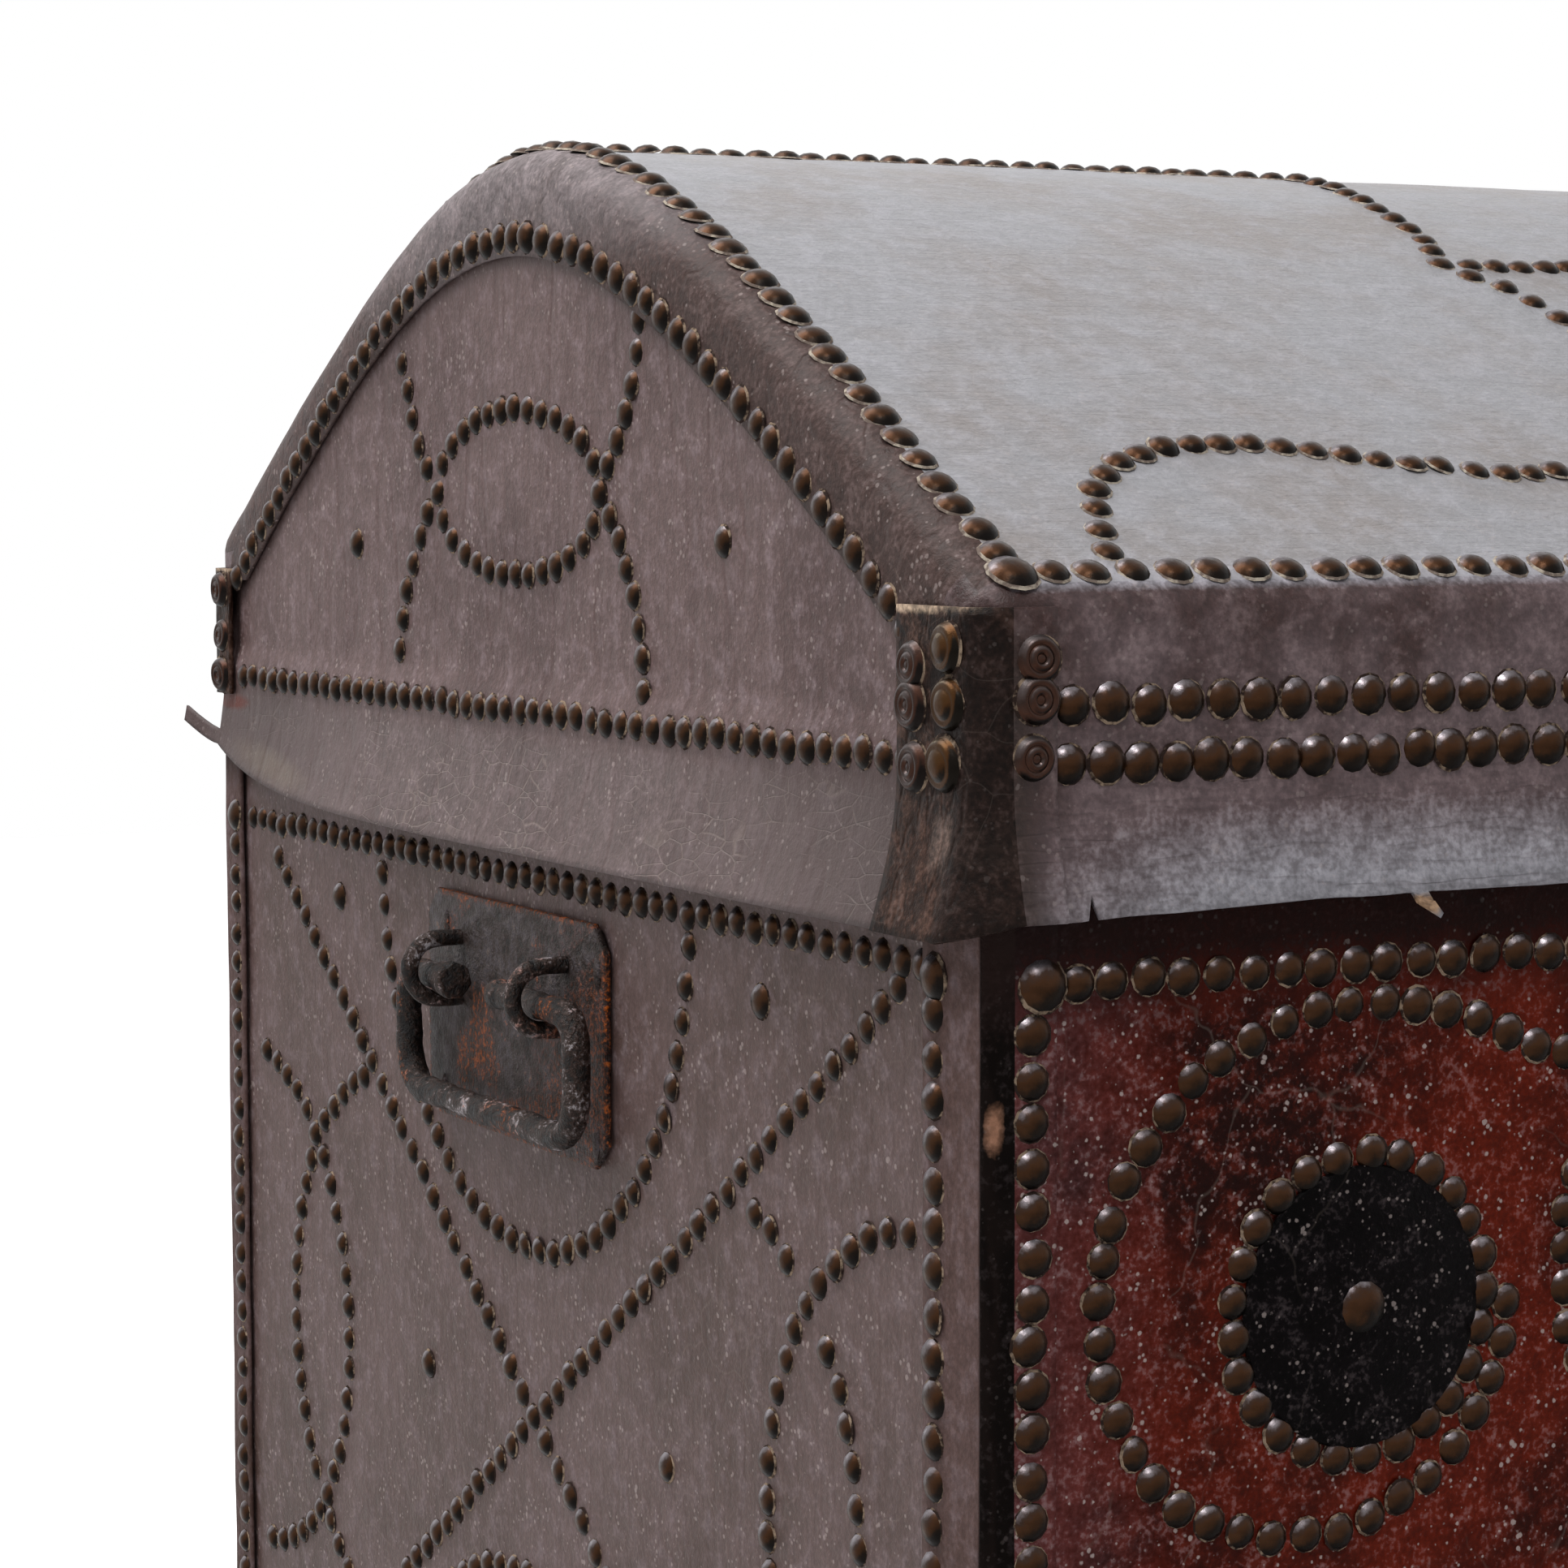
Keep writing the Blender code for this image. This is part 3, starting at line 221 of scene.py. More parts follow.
def window_height(y):
    """Height of the turned hide's edge on the gable at depth y."""
    return WINDOW_CROWN - WINDOW_FLANK * (math.hypot(1, (y - WINDOW_SHIFT) / WINDOW_BREADTH) - 1)


def gable_out(z):
    """Distance from the middle to the leather of a gable and of the skirt under it, at height z."""
    turned = 1 - ease((z - SKIRT_TOP + 0.002) / 0.010)
    return GABLE_X + (LID_HALF - GABLE_X) * turned + hang(z)


def cover_section(inset):
    """The hide's section over the lid, lowered by inset, from the foot of the front eave to that of the rear."""
    points = []
    for facing in (-1, 1):
        tangent, middle, seat = eave(facing)
        across, up = dome_normal(tangent)
        turn = math.atan2(up, across)
        radius = EAVE_RADIUS - inset
        arc = [(middle + radius * math.cos(turn * s / 6), seat + radius * math.sin(turn * s / 6)) for s in range(6)]
        foot = [(REACH[facing] - inset, COVER_LOW), (REACH[facing] - inset, (COVER_LOW + seat) / 2)]
        flank = []
        for step in range(44):
            v = tangent * (1 - step / 44)
            across, up = dome_normal(v)
            flank.append((v - across * inset, dome_height(v) - up * inset))
        half = [(CROWN_SHIFT + facing * v, z) for v, z in foot + arc + flank]
        points = points + half if facing < 0 else points + [(CROWN_SHIFT, CROWN - inset)] + half[::-1]
    return points


def window_section(count):
    """Points of the turned hide's edge round the gable, as many as the section has."""
    half = WINDOW_BREADTH * math.sqrt((1 + (WINDOW_CROWN - COVER_LOW) / WINDOW_FLANK) ** 2 - 1)
    places = [WINDOW_SHIFT + half * (2 * step / (count - 1) - 1) for step in range(count)]
    return [(y, window_height(y)) for y in places]


# Helpers for meshes


def steps(low, high, count):
    """Evenly spaced numbers from low to high."""
    return [low + (high - low) * step / (count - 1) for step in range(count)]


def sheet(rows):
    """A bmesh grid with one vertex for each point of the rows, and each vertex by its (row, column)."""
    bm = bmesh.new()
    wide, tall = len(rows[0]), len(rows)
    made = bmesh.ops.create_grid(bm, x_segments=wide - 1, y_segments=tall - 1, size=1)["verts"]
    order = sorted(made, key=lambda vert: (round(vert.co.y * (tall - 1)), round(vert.co.x * (wide - 1))))
    for vert, point in zip(order, [point for row in rows for point in row]):
        vert.co = point
    return bm, [order[row * wide : (row + 1) * wide] for row in range(tall)]


def face_out(bm, inside):
    """Turns the faces of an open sheet away from a point inside the trunk."""
    bmesh.ops.recalc_face_normals(bm, faces=bm.faces)
    face = max(bm.faces, key=lambda one: one.calc_area())
    if face.normal.dot(face.calc_center_median() - Vector(inside)) < 0:
        bmesh.ops.reverse_faces(bm, faces=bm.faces)
    bm.normal_update()


def ripple(point, depth):
    """How far the leather lies under its ideal surface: swells 45 mm apart and puckers 14 mm apart."""
    broad = noise.noise(point * 22)
    small = noise.noise(point * 70 + Vector((5, 1, 9)))
    return depth * (0.65 * broad + 0.35 * small - 0.55)


def crumple(bm, depth):
    """Sinks an open sheet's vertices by the leather's ripples."""
    bm.normal_update()
    for vert in bm.verts:
        vert.co += vert.normal * ripple(vert.co, depth)


def add_piece(name, bm, materials, body, replaces=(), smooth=40):
    """Makes the bmesh an object that rides on a body."""
    mesh = bpy.data.meshes.new(name)
    bm.to_mesh(mesh)
    bm.free()
    mesh.shade_smooth()
    mesh.set_sharp_from_angle(angle=math.radians(smooth))
    for material in materials:
        mesh.materials.append(material)
    made = bpy.data.objects.new(name, mesh)
    bpy.context.scene.collection.objects.link(made)
    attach(made, body)
    if replaces:
        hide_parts(*replaces)
    return made


def dress(piece, material):
    """Gives a solid of the frame its material."""
    piece.data.materials.clear()
    piece.data.materials.append(material)


def thicken(piece, thickness):
    """Gives a sheet its thickness, inwards."""
    solid = piece.modifiers.new("Leather thickness", "SOLIDIFY")
    solid.thickness = thickness
    solid.offset = -1
    solid.use_even_offset = True


def extrude_by(bm, edges, slide):
    """Extrudes an open sheet's edges, slides the new vertices along and returns them."""
    made = bmesh.ops.extrude_edge_only(bm, edges=edges)["geom"]
    moved = [item for item in made if isinstance(item, bmesh.types.BMVert)]
    bmesh.ops.translate(bm, verts=moved, vec=slide)
    return moved


def break_edges(bm, edges, width, segments):
    """Takes the sharpness off edges: one segment cuts them flat and two round them."""
    bmesh.ops.bevel(bm, geom=edges, offset=width, segments=segments, profile=0.5, affect="EDGES", material=-1)


def open_edges(bm, holds):
    """Edges on the border of a sheet whose two vertices both pass a test."""
    return [edge for edge in bm.edges if edge.is_boundary and all(holds(vert) for vert in edge.verts)]


def mark(piece, name, rule):
    """Writes a number from 0 to 1 on each vertex, which the piece's material reads."""
    values = [min(max(rule(vert.co), 0), 1) for vert in piece.data.vertices]
    layer = piece.data.attributes.new(name, "FLOAT", "POINT")
    layer.data.foreach_set("value", values)


def flap_share(p):
    """Share of the creases of a leather that hangs free below the lid's joint."""
    return (FLAP_Z - p.z) / 0.02


def front_bloom(p):
    """Share of grey bloom on the front of the base: towards its ends and its foot."""
    return max((abs(p.x) - 0.46) / 0.15, min((0.20 - p.z) / 0.14, 0.5))


def base_shadow(p):
    """Share of painted shadow on the base: in the shelter of the skirts, deepest at the front and the back."""
    if abs(p.y) > 0.277:
        return 1.25 - (FRONT_HEM - p.z) / 0.030
    return 0.7 - (PANEL_HIGH - 0.008 - p.z) / 0.02


def sweep(path, radii, sides):
    """A solid bar along a path that lies in one plane, closed at both ends."""
    bm = bmesh.new()
    made = bmesh.ops.create_circle(bm, cap_ends=True, cap_tris=False, segments=sides, radius=1)
    face = made["verts"][0].link_faces[0]
    ring = [vert.co.copy() for vert in face.verts]
    across = (path[1] - path[0]).cross(path[-1] - path[len(path) // 2])
    if across.length < 1e-9:
        across = Vector((0, 0, 1)).cross(path[1] - path[0])
    across.normalize()
    for index, (point, radius) in enumerate(zip(path, radii)):
        ahead = path[min(index + 1, len(path) - 1)] - path[max(index - 1, 0)]
        up = across.cross(ahead.normalized())
        if index:
            extruded = bmesh.ops.extrude_face_region(bm, geom=[face, *face.edges])["geom"]
            face = next(item for item in extruded if isinstance(item, bmesh.types.BMFace))
        for vert, corner in zip(face.verts, ring):
            vert.co = point + radius * (across * corner.x + up * corner.y)
    bmesh.ops.recalc_face_normals(bm, faces=bm.faces)
    return bm


def bend_path(corners, radii, steps):
    """Points along straight runs between the corners, with an arc at each inner corner."""
    points = [corners[0]]
    for before, corner, after, radius in zip(corners, corners[1:], corners[2:], radii):
        back = (before - corner).normalized()
        ahead = (after - corner).normalized()
        half_turn = back.angle(ahead) / 2
        middle = corner + (back + ahead).normalized() * radius / math.sin(half_turn)
        first = corner + back * radius / math.tan(half_turn) - middle
        last = corner + ahead * radius / math.tan(half_turn) - middle
        points += [middle + first.slerp(last, step / steps).normalized() * radius for step in range(steps + 1)]
    return points + [corners[-1]]


def spaced(points, pitch, closed=False):
    """Points at an even pitch along a line of (across, up) points."""
    points = [Vector(point) for point in points]
    if closed:
        points.append(points[0])
    lengths = [0]
    for first, second in zip(points, points[1:]):
        lengths.append(lengths[-1] + (second - first).length)
    count = max(round(lengths[-1] / pitch), 1)
    found, run = [], 0
    for step in range(count if closed else count + 1):
        along = lengths[-1] * step / count
        while run < len(points) - 2 and lengths[run + 1] < along:
            run += 1
        span = lengths[run + 1] - lengths[run]
        found.append(points[run].lerp(points[run + 1], (along - lengths[run]) / span if span else 0))
    return found


def thinned(spots, gap):
    """Leaves out each (place, width) that lies closer than the gap to one before it."""
    kept = []
    for p, width in spots:
        if all((p - other).length > gap for other, _ in kept):
            kept.append((p, width))
    return kept


def arc(centre, radius, start, end, steps=40):
    """Points of an arc, its angles in degrees from the first axis."""
    turns = [math.radians(start + (end - start) * step / steps) for step in range(steps + 1)]
    return [(centre[0] + radius * math.cos(a), centre[1] + radius * math.sin(a)) for a in turns]


# Helpers for materials


def rgba(colour):
    """A hex colour or three linear values, as the four values of a node's colour."""
    return (*(linear(colour) if isinstance(colour, str) else colour), 1)


def set_inputs(tree, node, inputs):
    """Gives a node's inputs their links or values."""
    for socket, value in inputs.items():
        if isinstance(value, bpy.types.NodeSocket):
            tree.links.new(value, node.inputs[socket])
        else:
            node.inputs[socket].default_value = value


def add_node(tree, kind, inputs=(), give=0, stops=(), **settings):
    """Adds a node with its settings, its inputs as values or links and a ramp's stops, and gives one of its outputs."""
    made = tree.nodes.new("ShaderNode" + kind)
    for name, value in settings.items():
        setattr(made, name, value)
    set_inputs(tree, made, dict(inputs))
    for index, (place, code) in enumerate(stops):
        ramp = made.color_ramp.elements
        stop = ramp[index] if index < 2 else ramp.new(place)
        stop.position = place
        stop.color = rgba(code)
    return made.outputs[give]


def new_material(name):
    """A material with its Principled shader, ready for links."""
    made = bpy.data.materials.new(name)
    made.use_nodes = True
    return made, made.node_tree, made.node_tree.nodes["Principled BSDF"]


def tint_marked(tree, colour, uneven, attribute, tint, strength, ragged=0.35, low=0.48, high=1.00):
    """Lays a tint over the colour where an attribute marks it, with an edge as ragged as the leather is uneven."""
    value = add_node(tree, "Attribute", give="Fac", attribute_name=attribute)
    share = add_node(tree, "Math", {0: uneven, 1: ragged, 2: value}, operation="MULTIPLY_ADD")
    share = add_node(tree, "MapRange", {"Value": share, 1: low, 2: high, 4: strength})
    here = add_node(tree, "MapRange", {"Value": value, 2: 0.08})
    share = add_node(tree, "Math", {0: share, 1: here}, operation="MULTIPLY")
    return add_node(tree, "Mix", {0: share, 6: colour, 7: rgba(tint)}, 2, data_type="RGBA")


def leather(
    name, base, dark, light, tints=(), roughness=0.52, shine=0.3, crease=(60, 60, 60), fold=0.06, creased=None,
    crack=(17, 17, 17), cracks=0.05, cracked=None, brush=(300, 300, 300), rub=0.10, specks=0.3, bloom=0.15,
    contrast=0.2, split=0.013, shade_tone="#1c1210",
):
    """Cowhide tanned in bark, stained, waxed and rubbed for generations: a dull sheen over uneven colour, soft creases,
    crazed wax and specks of dust."""
    made, tree, shader = new_material(name)
    place = add_node(tree, "TexCoord", give="Object")
    # Stains are 70 mm across, mottling 8 mm and grain 1.6 mm: real pores, 0.2 mm, are too fine to show
    stain = add_node(tree, "TexNoise", {"Vector": place, "Scale": 14, "Detail": 4, "Roughness": 0.6})
    mottle = add_node(tree, "TexNoise", {"Vector": place, "Scale": 130, "Detail": 5, "Roughness": 0.68})
    grain = add_node(tree, "TexNoise", {"Vector": place, "Scale": 620, "Detail": 2})
    # Brush marks are 2.4 mm wide and 22 mm long, down the hide
    brushed = add_node(tree, "Mapping", {"Vector": place, "Scale": brush})
    brushed = add_node(tree, "TexNoise", {"Vector": brushed, "Scale": 1, "Detail": 3})
    # The hide's own colour, then what time has done to parts of it
    share = add_node(tree, "MapRange", {"Value": stain, 1: 0.44, 2: 0.62})
    colour = add_node(tree, "Mix", {0: share, 6: rgba(base), 7: rgba(dark)}, 2, data_type="RGBA")
    share = add_node(tree, "MapRange", {"Value": mottle, 1: 0.47, 2: 0.72, 4: 0.7})
    colour = add_node(tree, "Mix", {0: share, 6: colour, 7: rgba(light)}, 2, data_type="RGBA")
    uneven = add_node(tree, "Math", {0: mottle, 1: grain}, operation="ADD")
    for attribute, tint, strength in tints:
        colour = tint_marked(tree, colour, uneven, attribute, tint, strength)
    depth = add_node(tree, "MapRange", {"Value": mottle, 1: 0.40, 2: 0.60, 3: 1 - contrast, 4: 1 + contrast})
    close = add_node(tree, "MapRange", {"Value": grain, 1: 0.38, 2: 0.62, 3: 1 - contrast, 4: 1 + contrast})
    marks = add_node(tree, "MapRange", {"Value": brushed, 1: 0.36, 2: 0.64, 3: 1 - rub, 4: 1 + rub})
    depth = add_node(tree, "Math", {0: depth, 1: close}, operation="MULTIPLY")
    depth = add_node(tree, "Math", {0: depth, 1: marks}, operation="MULTIPLY")
    colour = add_node(tree, "Mix", {0: 1, 6: colour, 7: depth}, 2, data_type="RGBA", blend_type="MULTIPLY")
    # Creases: the middle line of a noise drawn out along the hide
    drawn = add_node(tree, "Mapping", {"Vector": place, "Scale": crease})
    drawn = add_node(tree, "TexNoise", {"Vector": drawn, "Scale": 1, "Detail": 2})
    drawn = add_node(tree, "Math", {0: drawn, 1: 0.5}, operation="SUBTRACT")
    drawn = add_node(tree, "Math", {0: drawn}, operation="ABSOLUTE")
    drawn = add_node(tree, "MapRange", {"Value": drawn, 2: 0.055, 3: 1, 4: 0}, interpolation_type="SMOOTHSTEP")
    if creased:
        here = add_node(tree, "Attribute", give="Fac", attribute_name=creased)
        drawn = add_node(tree, "Math", {0: drawn, 1: here}, operation="MULTIPLY")
    share = add_node(tree, "Math", {0: drawn, 1: fold * 0.8}, operation="MULTIPLY")
    colour = add_node(tree, "Mix", {0: share, 6: colour, 7: rgba(dark)}, 2, data_type="RGBA")
    # Cracks and scratches: the borders of cells, broken where the stains are weak, with dust in them
    cell = add_node(tree, "Mapping", {"Vector": place, "Scale": crack})
    stray = add_node(tree, "TexNoise", {"Vector": place, "Scale": 60}, "Color")
    cell = add_node(tree, "VectorMath", {0: stray, 1: (0.3, 0.3, 0.3), 2: cell}, operation="MULTIPLY_ADD")
    cell = add_node(tree, "TexVoronoi", {"Vector": cell, "Scale": 1}, feature="DISTANCE_TO_EDGE")
    cell = add_node(tree, "MapRange", {"Value": cell, 2: split, 3: 1, 4: 0})
    here = add_node(tree, "MapRange", {"Value": stain, 1: 0.47, 2: 0.56})
    cell = add_node(tree, "Math", {0: cell, 1: here}, operation="MULTIPLY")
    if cracked:
        here = add_node(tree, "Attribute", give="Fac", attribute_name=cracked)
        cell = add_node(tree, "Math", {0: cell, 1: here}, operation="MULTIPLY")
    share = add_node(tree, "Math", {0: cell, 1: cracks}, operation="MULTIPLY")
    colour = add_node(tree, "Mix", {0: share, 6: colour, 7: rgba("#a5958c")}, 2, data_type="RGBA")
    # Dust: a thin film over the grain, and specks up to 2 mm across in drifts
    share = add_node(tree, "MapRange", {"Value": uneven, 1: 1.06, 2: 1.38, 4: bloom})
    colour = add_node(tree, "Mix", {0: share, 6: colour, 7: rgba("#9c8c8e")}, 2, data_type="RGBA")
    dots = add_node(tree, "TexVoronoi", {"Vector": place, "Scale": 380})
    drift = add_node(tree, "TexNoise", {"Vector": place, "Scale": 90, "Detail": 5, "Roughness": 0.7})
    drift = add_node(tree, "MapRange", {"Value": drift, 1: 0.40, 2: 0.70, 3: 0.0, 4: 0.42})
    dots = add_node(tree, "Math", {0: dots, 1: drift}, operation="SUBTRACT")
    share = add_node(tree, "MapRange", {"Value": dots, 1: -0.08, 2: 0.03, 3: specks, 4: 0})
    colour = add_node(tree, "Mix", {0: share, 6: colour, 7: rgba("#b9aaa6")}, 2, data_type="RGBA")
    # Painted shade goes over everything where a piece marks it: under the skirts, under the turned hide's edge and
    # towards the skirts' corners
    colour = tint_marked(tree, colour, uneven, "painted_shade", shade_tone, 0.92, ragged=0.55, low=0.68, high=1.45)
    rough = add_node(tree, "MapRange", {"Value": mottle, 1: 0.3, 2: 0.7, 3: roughness - 0.08, 4: roughness + 0.12})
    height = add_node(tree, "Math", {0: grain, 1: 0.22, 2: mottle}, operation="MULTIPLY_ADD")
    height = add_node(tree, "Math", {0: brushed, 1: 2 * rub, 2: height}, operation="MULTIPLY_ADD")
    height = add_node(tree, "Math", {0: drawn, 1: -1.6 * fold, 2: height}, operation="MULTIPLY_ADD")
    height = add_node(tree, "Math", {0: cell, 1: -cracks, 2: height}, operation="MULTIPLY_ADD")
    bump = add_node(tree, "Bump", {"Height": height, "Strength": 0.65, "Distance": 0.0012})
    looks = {"Base Color": colour, "Roughness": rough, "Specular IOR Level": shine, "Normal": bump}
    set_inputs(tree, shader, looks)
    return made


def forged_iron(name, stops, rusty):
    """Wrought iron hammered hot: brown-black scale, dull grey metal where hands have rubbed it, and rust in patches."""
    made, tree, shader = new_material(name)
    place = add_node(tree, "TexCoord", give="Object")
    # Scale flakes are 8 mm across and pits 1.5 mm
    scale = add_node(tree, "TexNoise", {"Vector": place, "Scale": 120, "Detail": 6, "Roughness": 0.7})
    pits = add_node(tree, "TexNoise", {"Vector": place, "Scale": 650, "Detail": 3, "Roughness": 0.65})
    level = add_node(tree, "Mix", {0: 0.38, 2: scale, 3: pits})
    colour = add_node(tree, "ValToRGB", {"Fac": level}, stops=stops)
    blotch = add_node(tree, "TexNoise", {"Vector": place, "Scale": 42, "Detail": 3})
    blotch = add_node(tree, "Math", {0: blotch, 1: level}, operation="ADD")
    rust = add_node(tree, "MapRange", {"Value": blotch, 1: 1.08, 2: 1.22, 4: rusty})
    near = add_node(tree, "Attribute", give="Fac", attribute_name="rust")
    near = add_node(tree, "Math", {0: near, 1: level}, operation="MULTIPLY", use_clamp=True)
    near = add_node(tree, "MapRange", {"Value": near, 1: 0.14, 2: 0.42})
    rust = add_node(tree, "Math", {0: rust, 1: near}, operation="MAXIMUM")
    tones = ((0.40, "#1c0d07"), (0.48, "#3d1e10"), (0.55, "#6e3613"), (0.62, "#a9561a"))
    tone = add_node(tree, "ValToRGB", {"Fac": pits}, stops=tones)
    colour = add_node(tree, "Mix", {0: rust, 6: colour, 7: tone}, 2, data_type="RGBA")
    metal = add_node(tree, "MapRange", {"Value": level, 1: 0.50, 2: 0.60, 3: 0.10, 4: 0.75})
    rough = add_node(tree, "MapRange", {"Value": pits, 1: 0.3, 2: 0.7, 3: 0.34, 4: 0.70})
    height = add_node(tree, "Math", {0: scale, 1: 2.2, 2: pits}, operation="MULTIPLY_ADD")
    bump = add_node(tree, "Bump", {"Height": height, "Strength": 0.9, "Distance": 0.0012})
    looks = {"Base Color": colour, "Metallic": metal, "Roughness": rough, "Specular IOR Level": 0.25, "Normal": bump}
    set_inputs(tree, shader, looks)
    return made


def aged_brass(name, stops):
    """Sheet brass pressed into a cap, left to tarnish brown, with light and shade painted on each head: a grey painted
    highlight on the side that looks up, amber metal on the side that looks down and painted shade under the rim."""
    made, tree, shader = new_material(name)
    place = add_node(tree, "TexCoord", give="Object")
    # Tarnish changes every 4 mm, half a head, so that no two nails match
    tarnish = add_node(tree, "TexNoise", {"Vector": place, "Scale": 240, "Detail": 4, "Roughness": 0.6})
    # The attribute holds each point's painted light: low for the painted highlight, high for the painted shade under
    # the rim
    shade = add_node(tree, "Attribute", give="Fac", attribute_name="under")
    level = add_node(tree, "Math", {0: tarnish, 1: 0.35, 2: shade}, operation="MULTIPLY_ADD")
    colour = add_node(tree, "ValToRGB", {"Fac": level}, stops=stops)
    rough = add_node(tree, "MapRange", {"Value": tarnish, 1: 0.3, 2: 0.7, 3: 0.24, 4: 0.44})
    bump = add_node(tree, "Bump", {"Height": tarnish, "Strength": 0.35, "Distance": 0.0006})
    set_inputs(tree, shader, {"Base Color": colour, "Metallic": 0.85, "Roughness": rough, "Normal": bump})
    return made


def packed_wax(name, dark, pale):
    """Old wax and dust packed round a nail's head: dull, dark where it is waxy and pale where it is dry."""
    made, tree, shader = new_material(name)
    place = add_node(tree, "TexCoord", give="Object")
    # Crumbs are 3 mm across
    crumbs = add_node(tree, "TexNoise", {"Vector": place, "Scale": 330, "Detail": 3, "Roughness": 0.6})
    colour = add_node(tree, "ValToRGB", {"Fac": crumbs}, stops=((0.46, dark), (0.62, pale)))
    bump = add_node(tree, "Bump", {"Height": crumbs, "Strength": 0.8, "Distance": 0.0010})
    set_inputs(tree, shader, {"Base Color": colour, "Roughness": 0.9, "Specular IOR Level": 0.1, "Normal": bump})
    return made


def aged_pine(name, base, grain_tone):
    """Sawn pine darkened with age: straight grain 3 mm apart, warm tan and dull."""
    made, tree, shader = new_material(name)
    place = add_node(tree, "TexCoord", give="Object")
    along = add_node(tree, "Mapping", {"Vector": place, "Scale": (20, 330, 330)})
    grain = add_node(tree, "TexNoise", {"Vector": along, "Scale": 1, "Detail": 5, "Distortion": 0.4})
    colour = add_node(tree, "Mix", {0: grain, 6: rgba(grain_tone), 7: rgba(base)}, 2, data_type="RGBA")
    bump = add_node(tree, "Bump", {"Height": grain, "Strength": 0.3, "Distance": 0.0006})
    set_inputs(tree, shader, {"Base Color": colour, "Roughness": 0.75, "Normal": bump})
    return made


# What the end leathers and the corner strips share
END_TONES = {"dark": "#4b3934", "light": "#6a5d60"}
END_GRAIN = {"crease": (50, 50, 12), "crack": (24, 24, 24), "brush": (400, 400, 55), "rub": 0.07, "shade_tone": "#241816"}

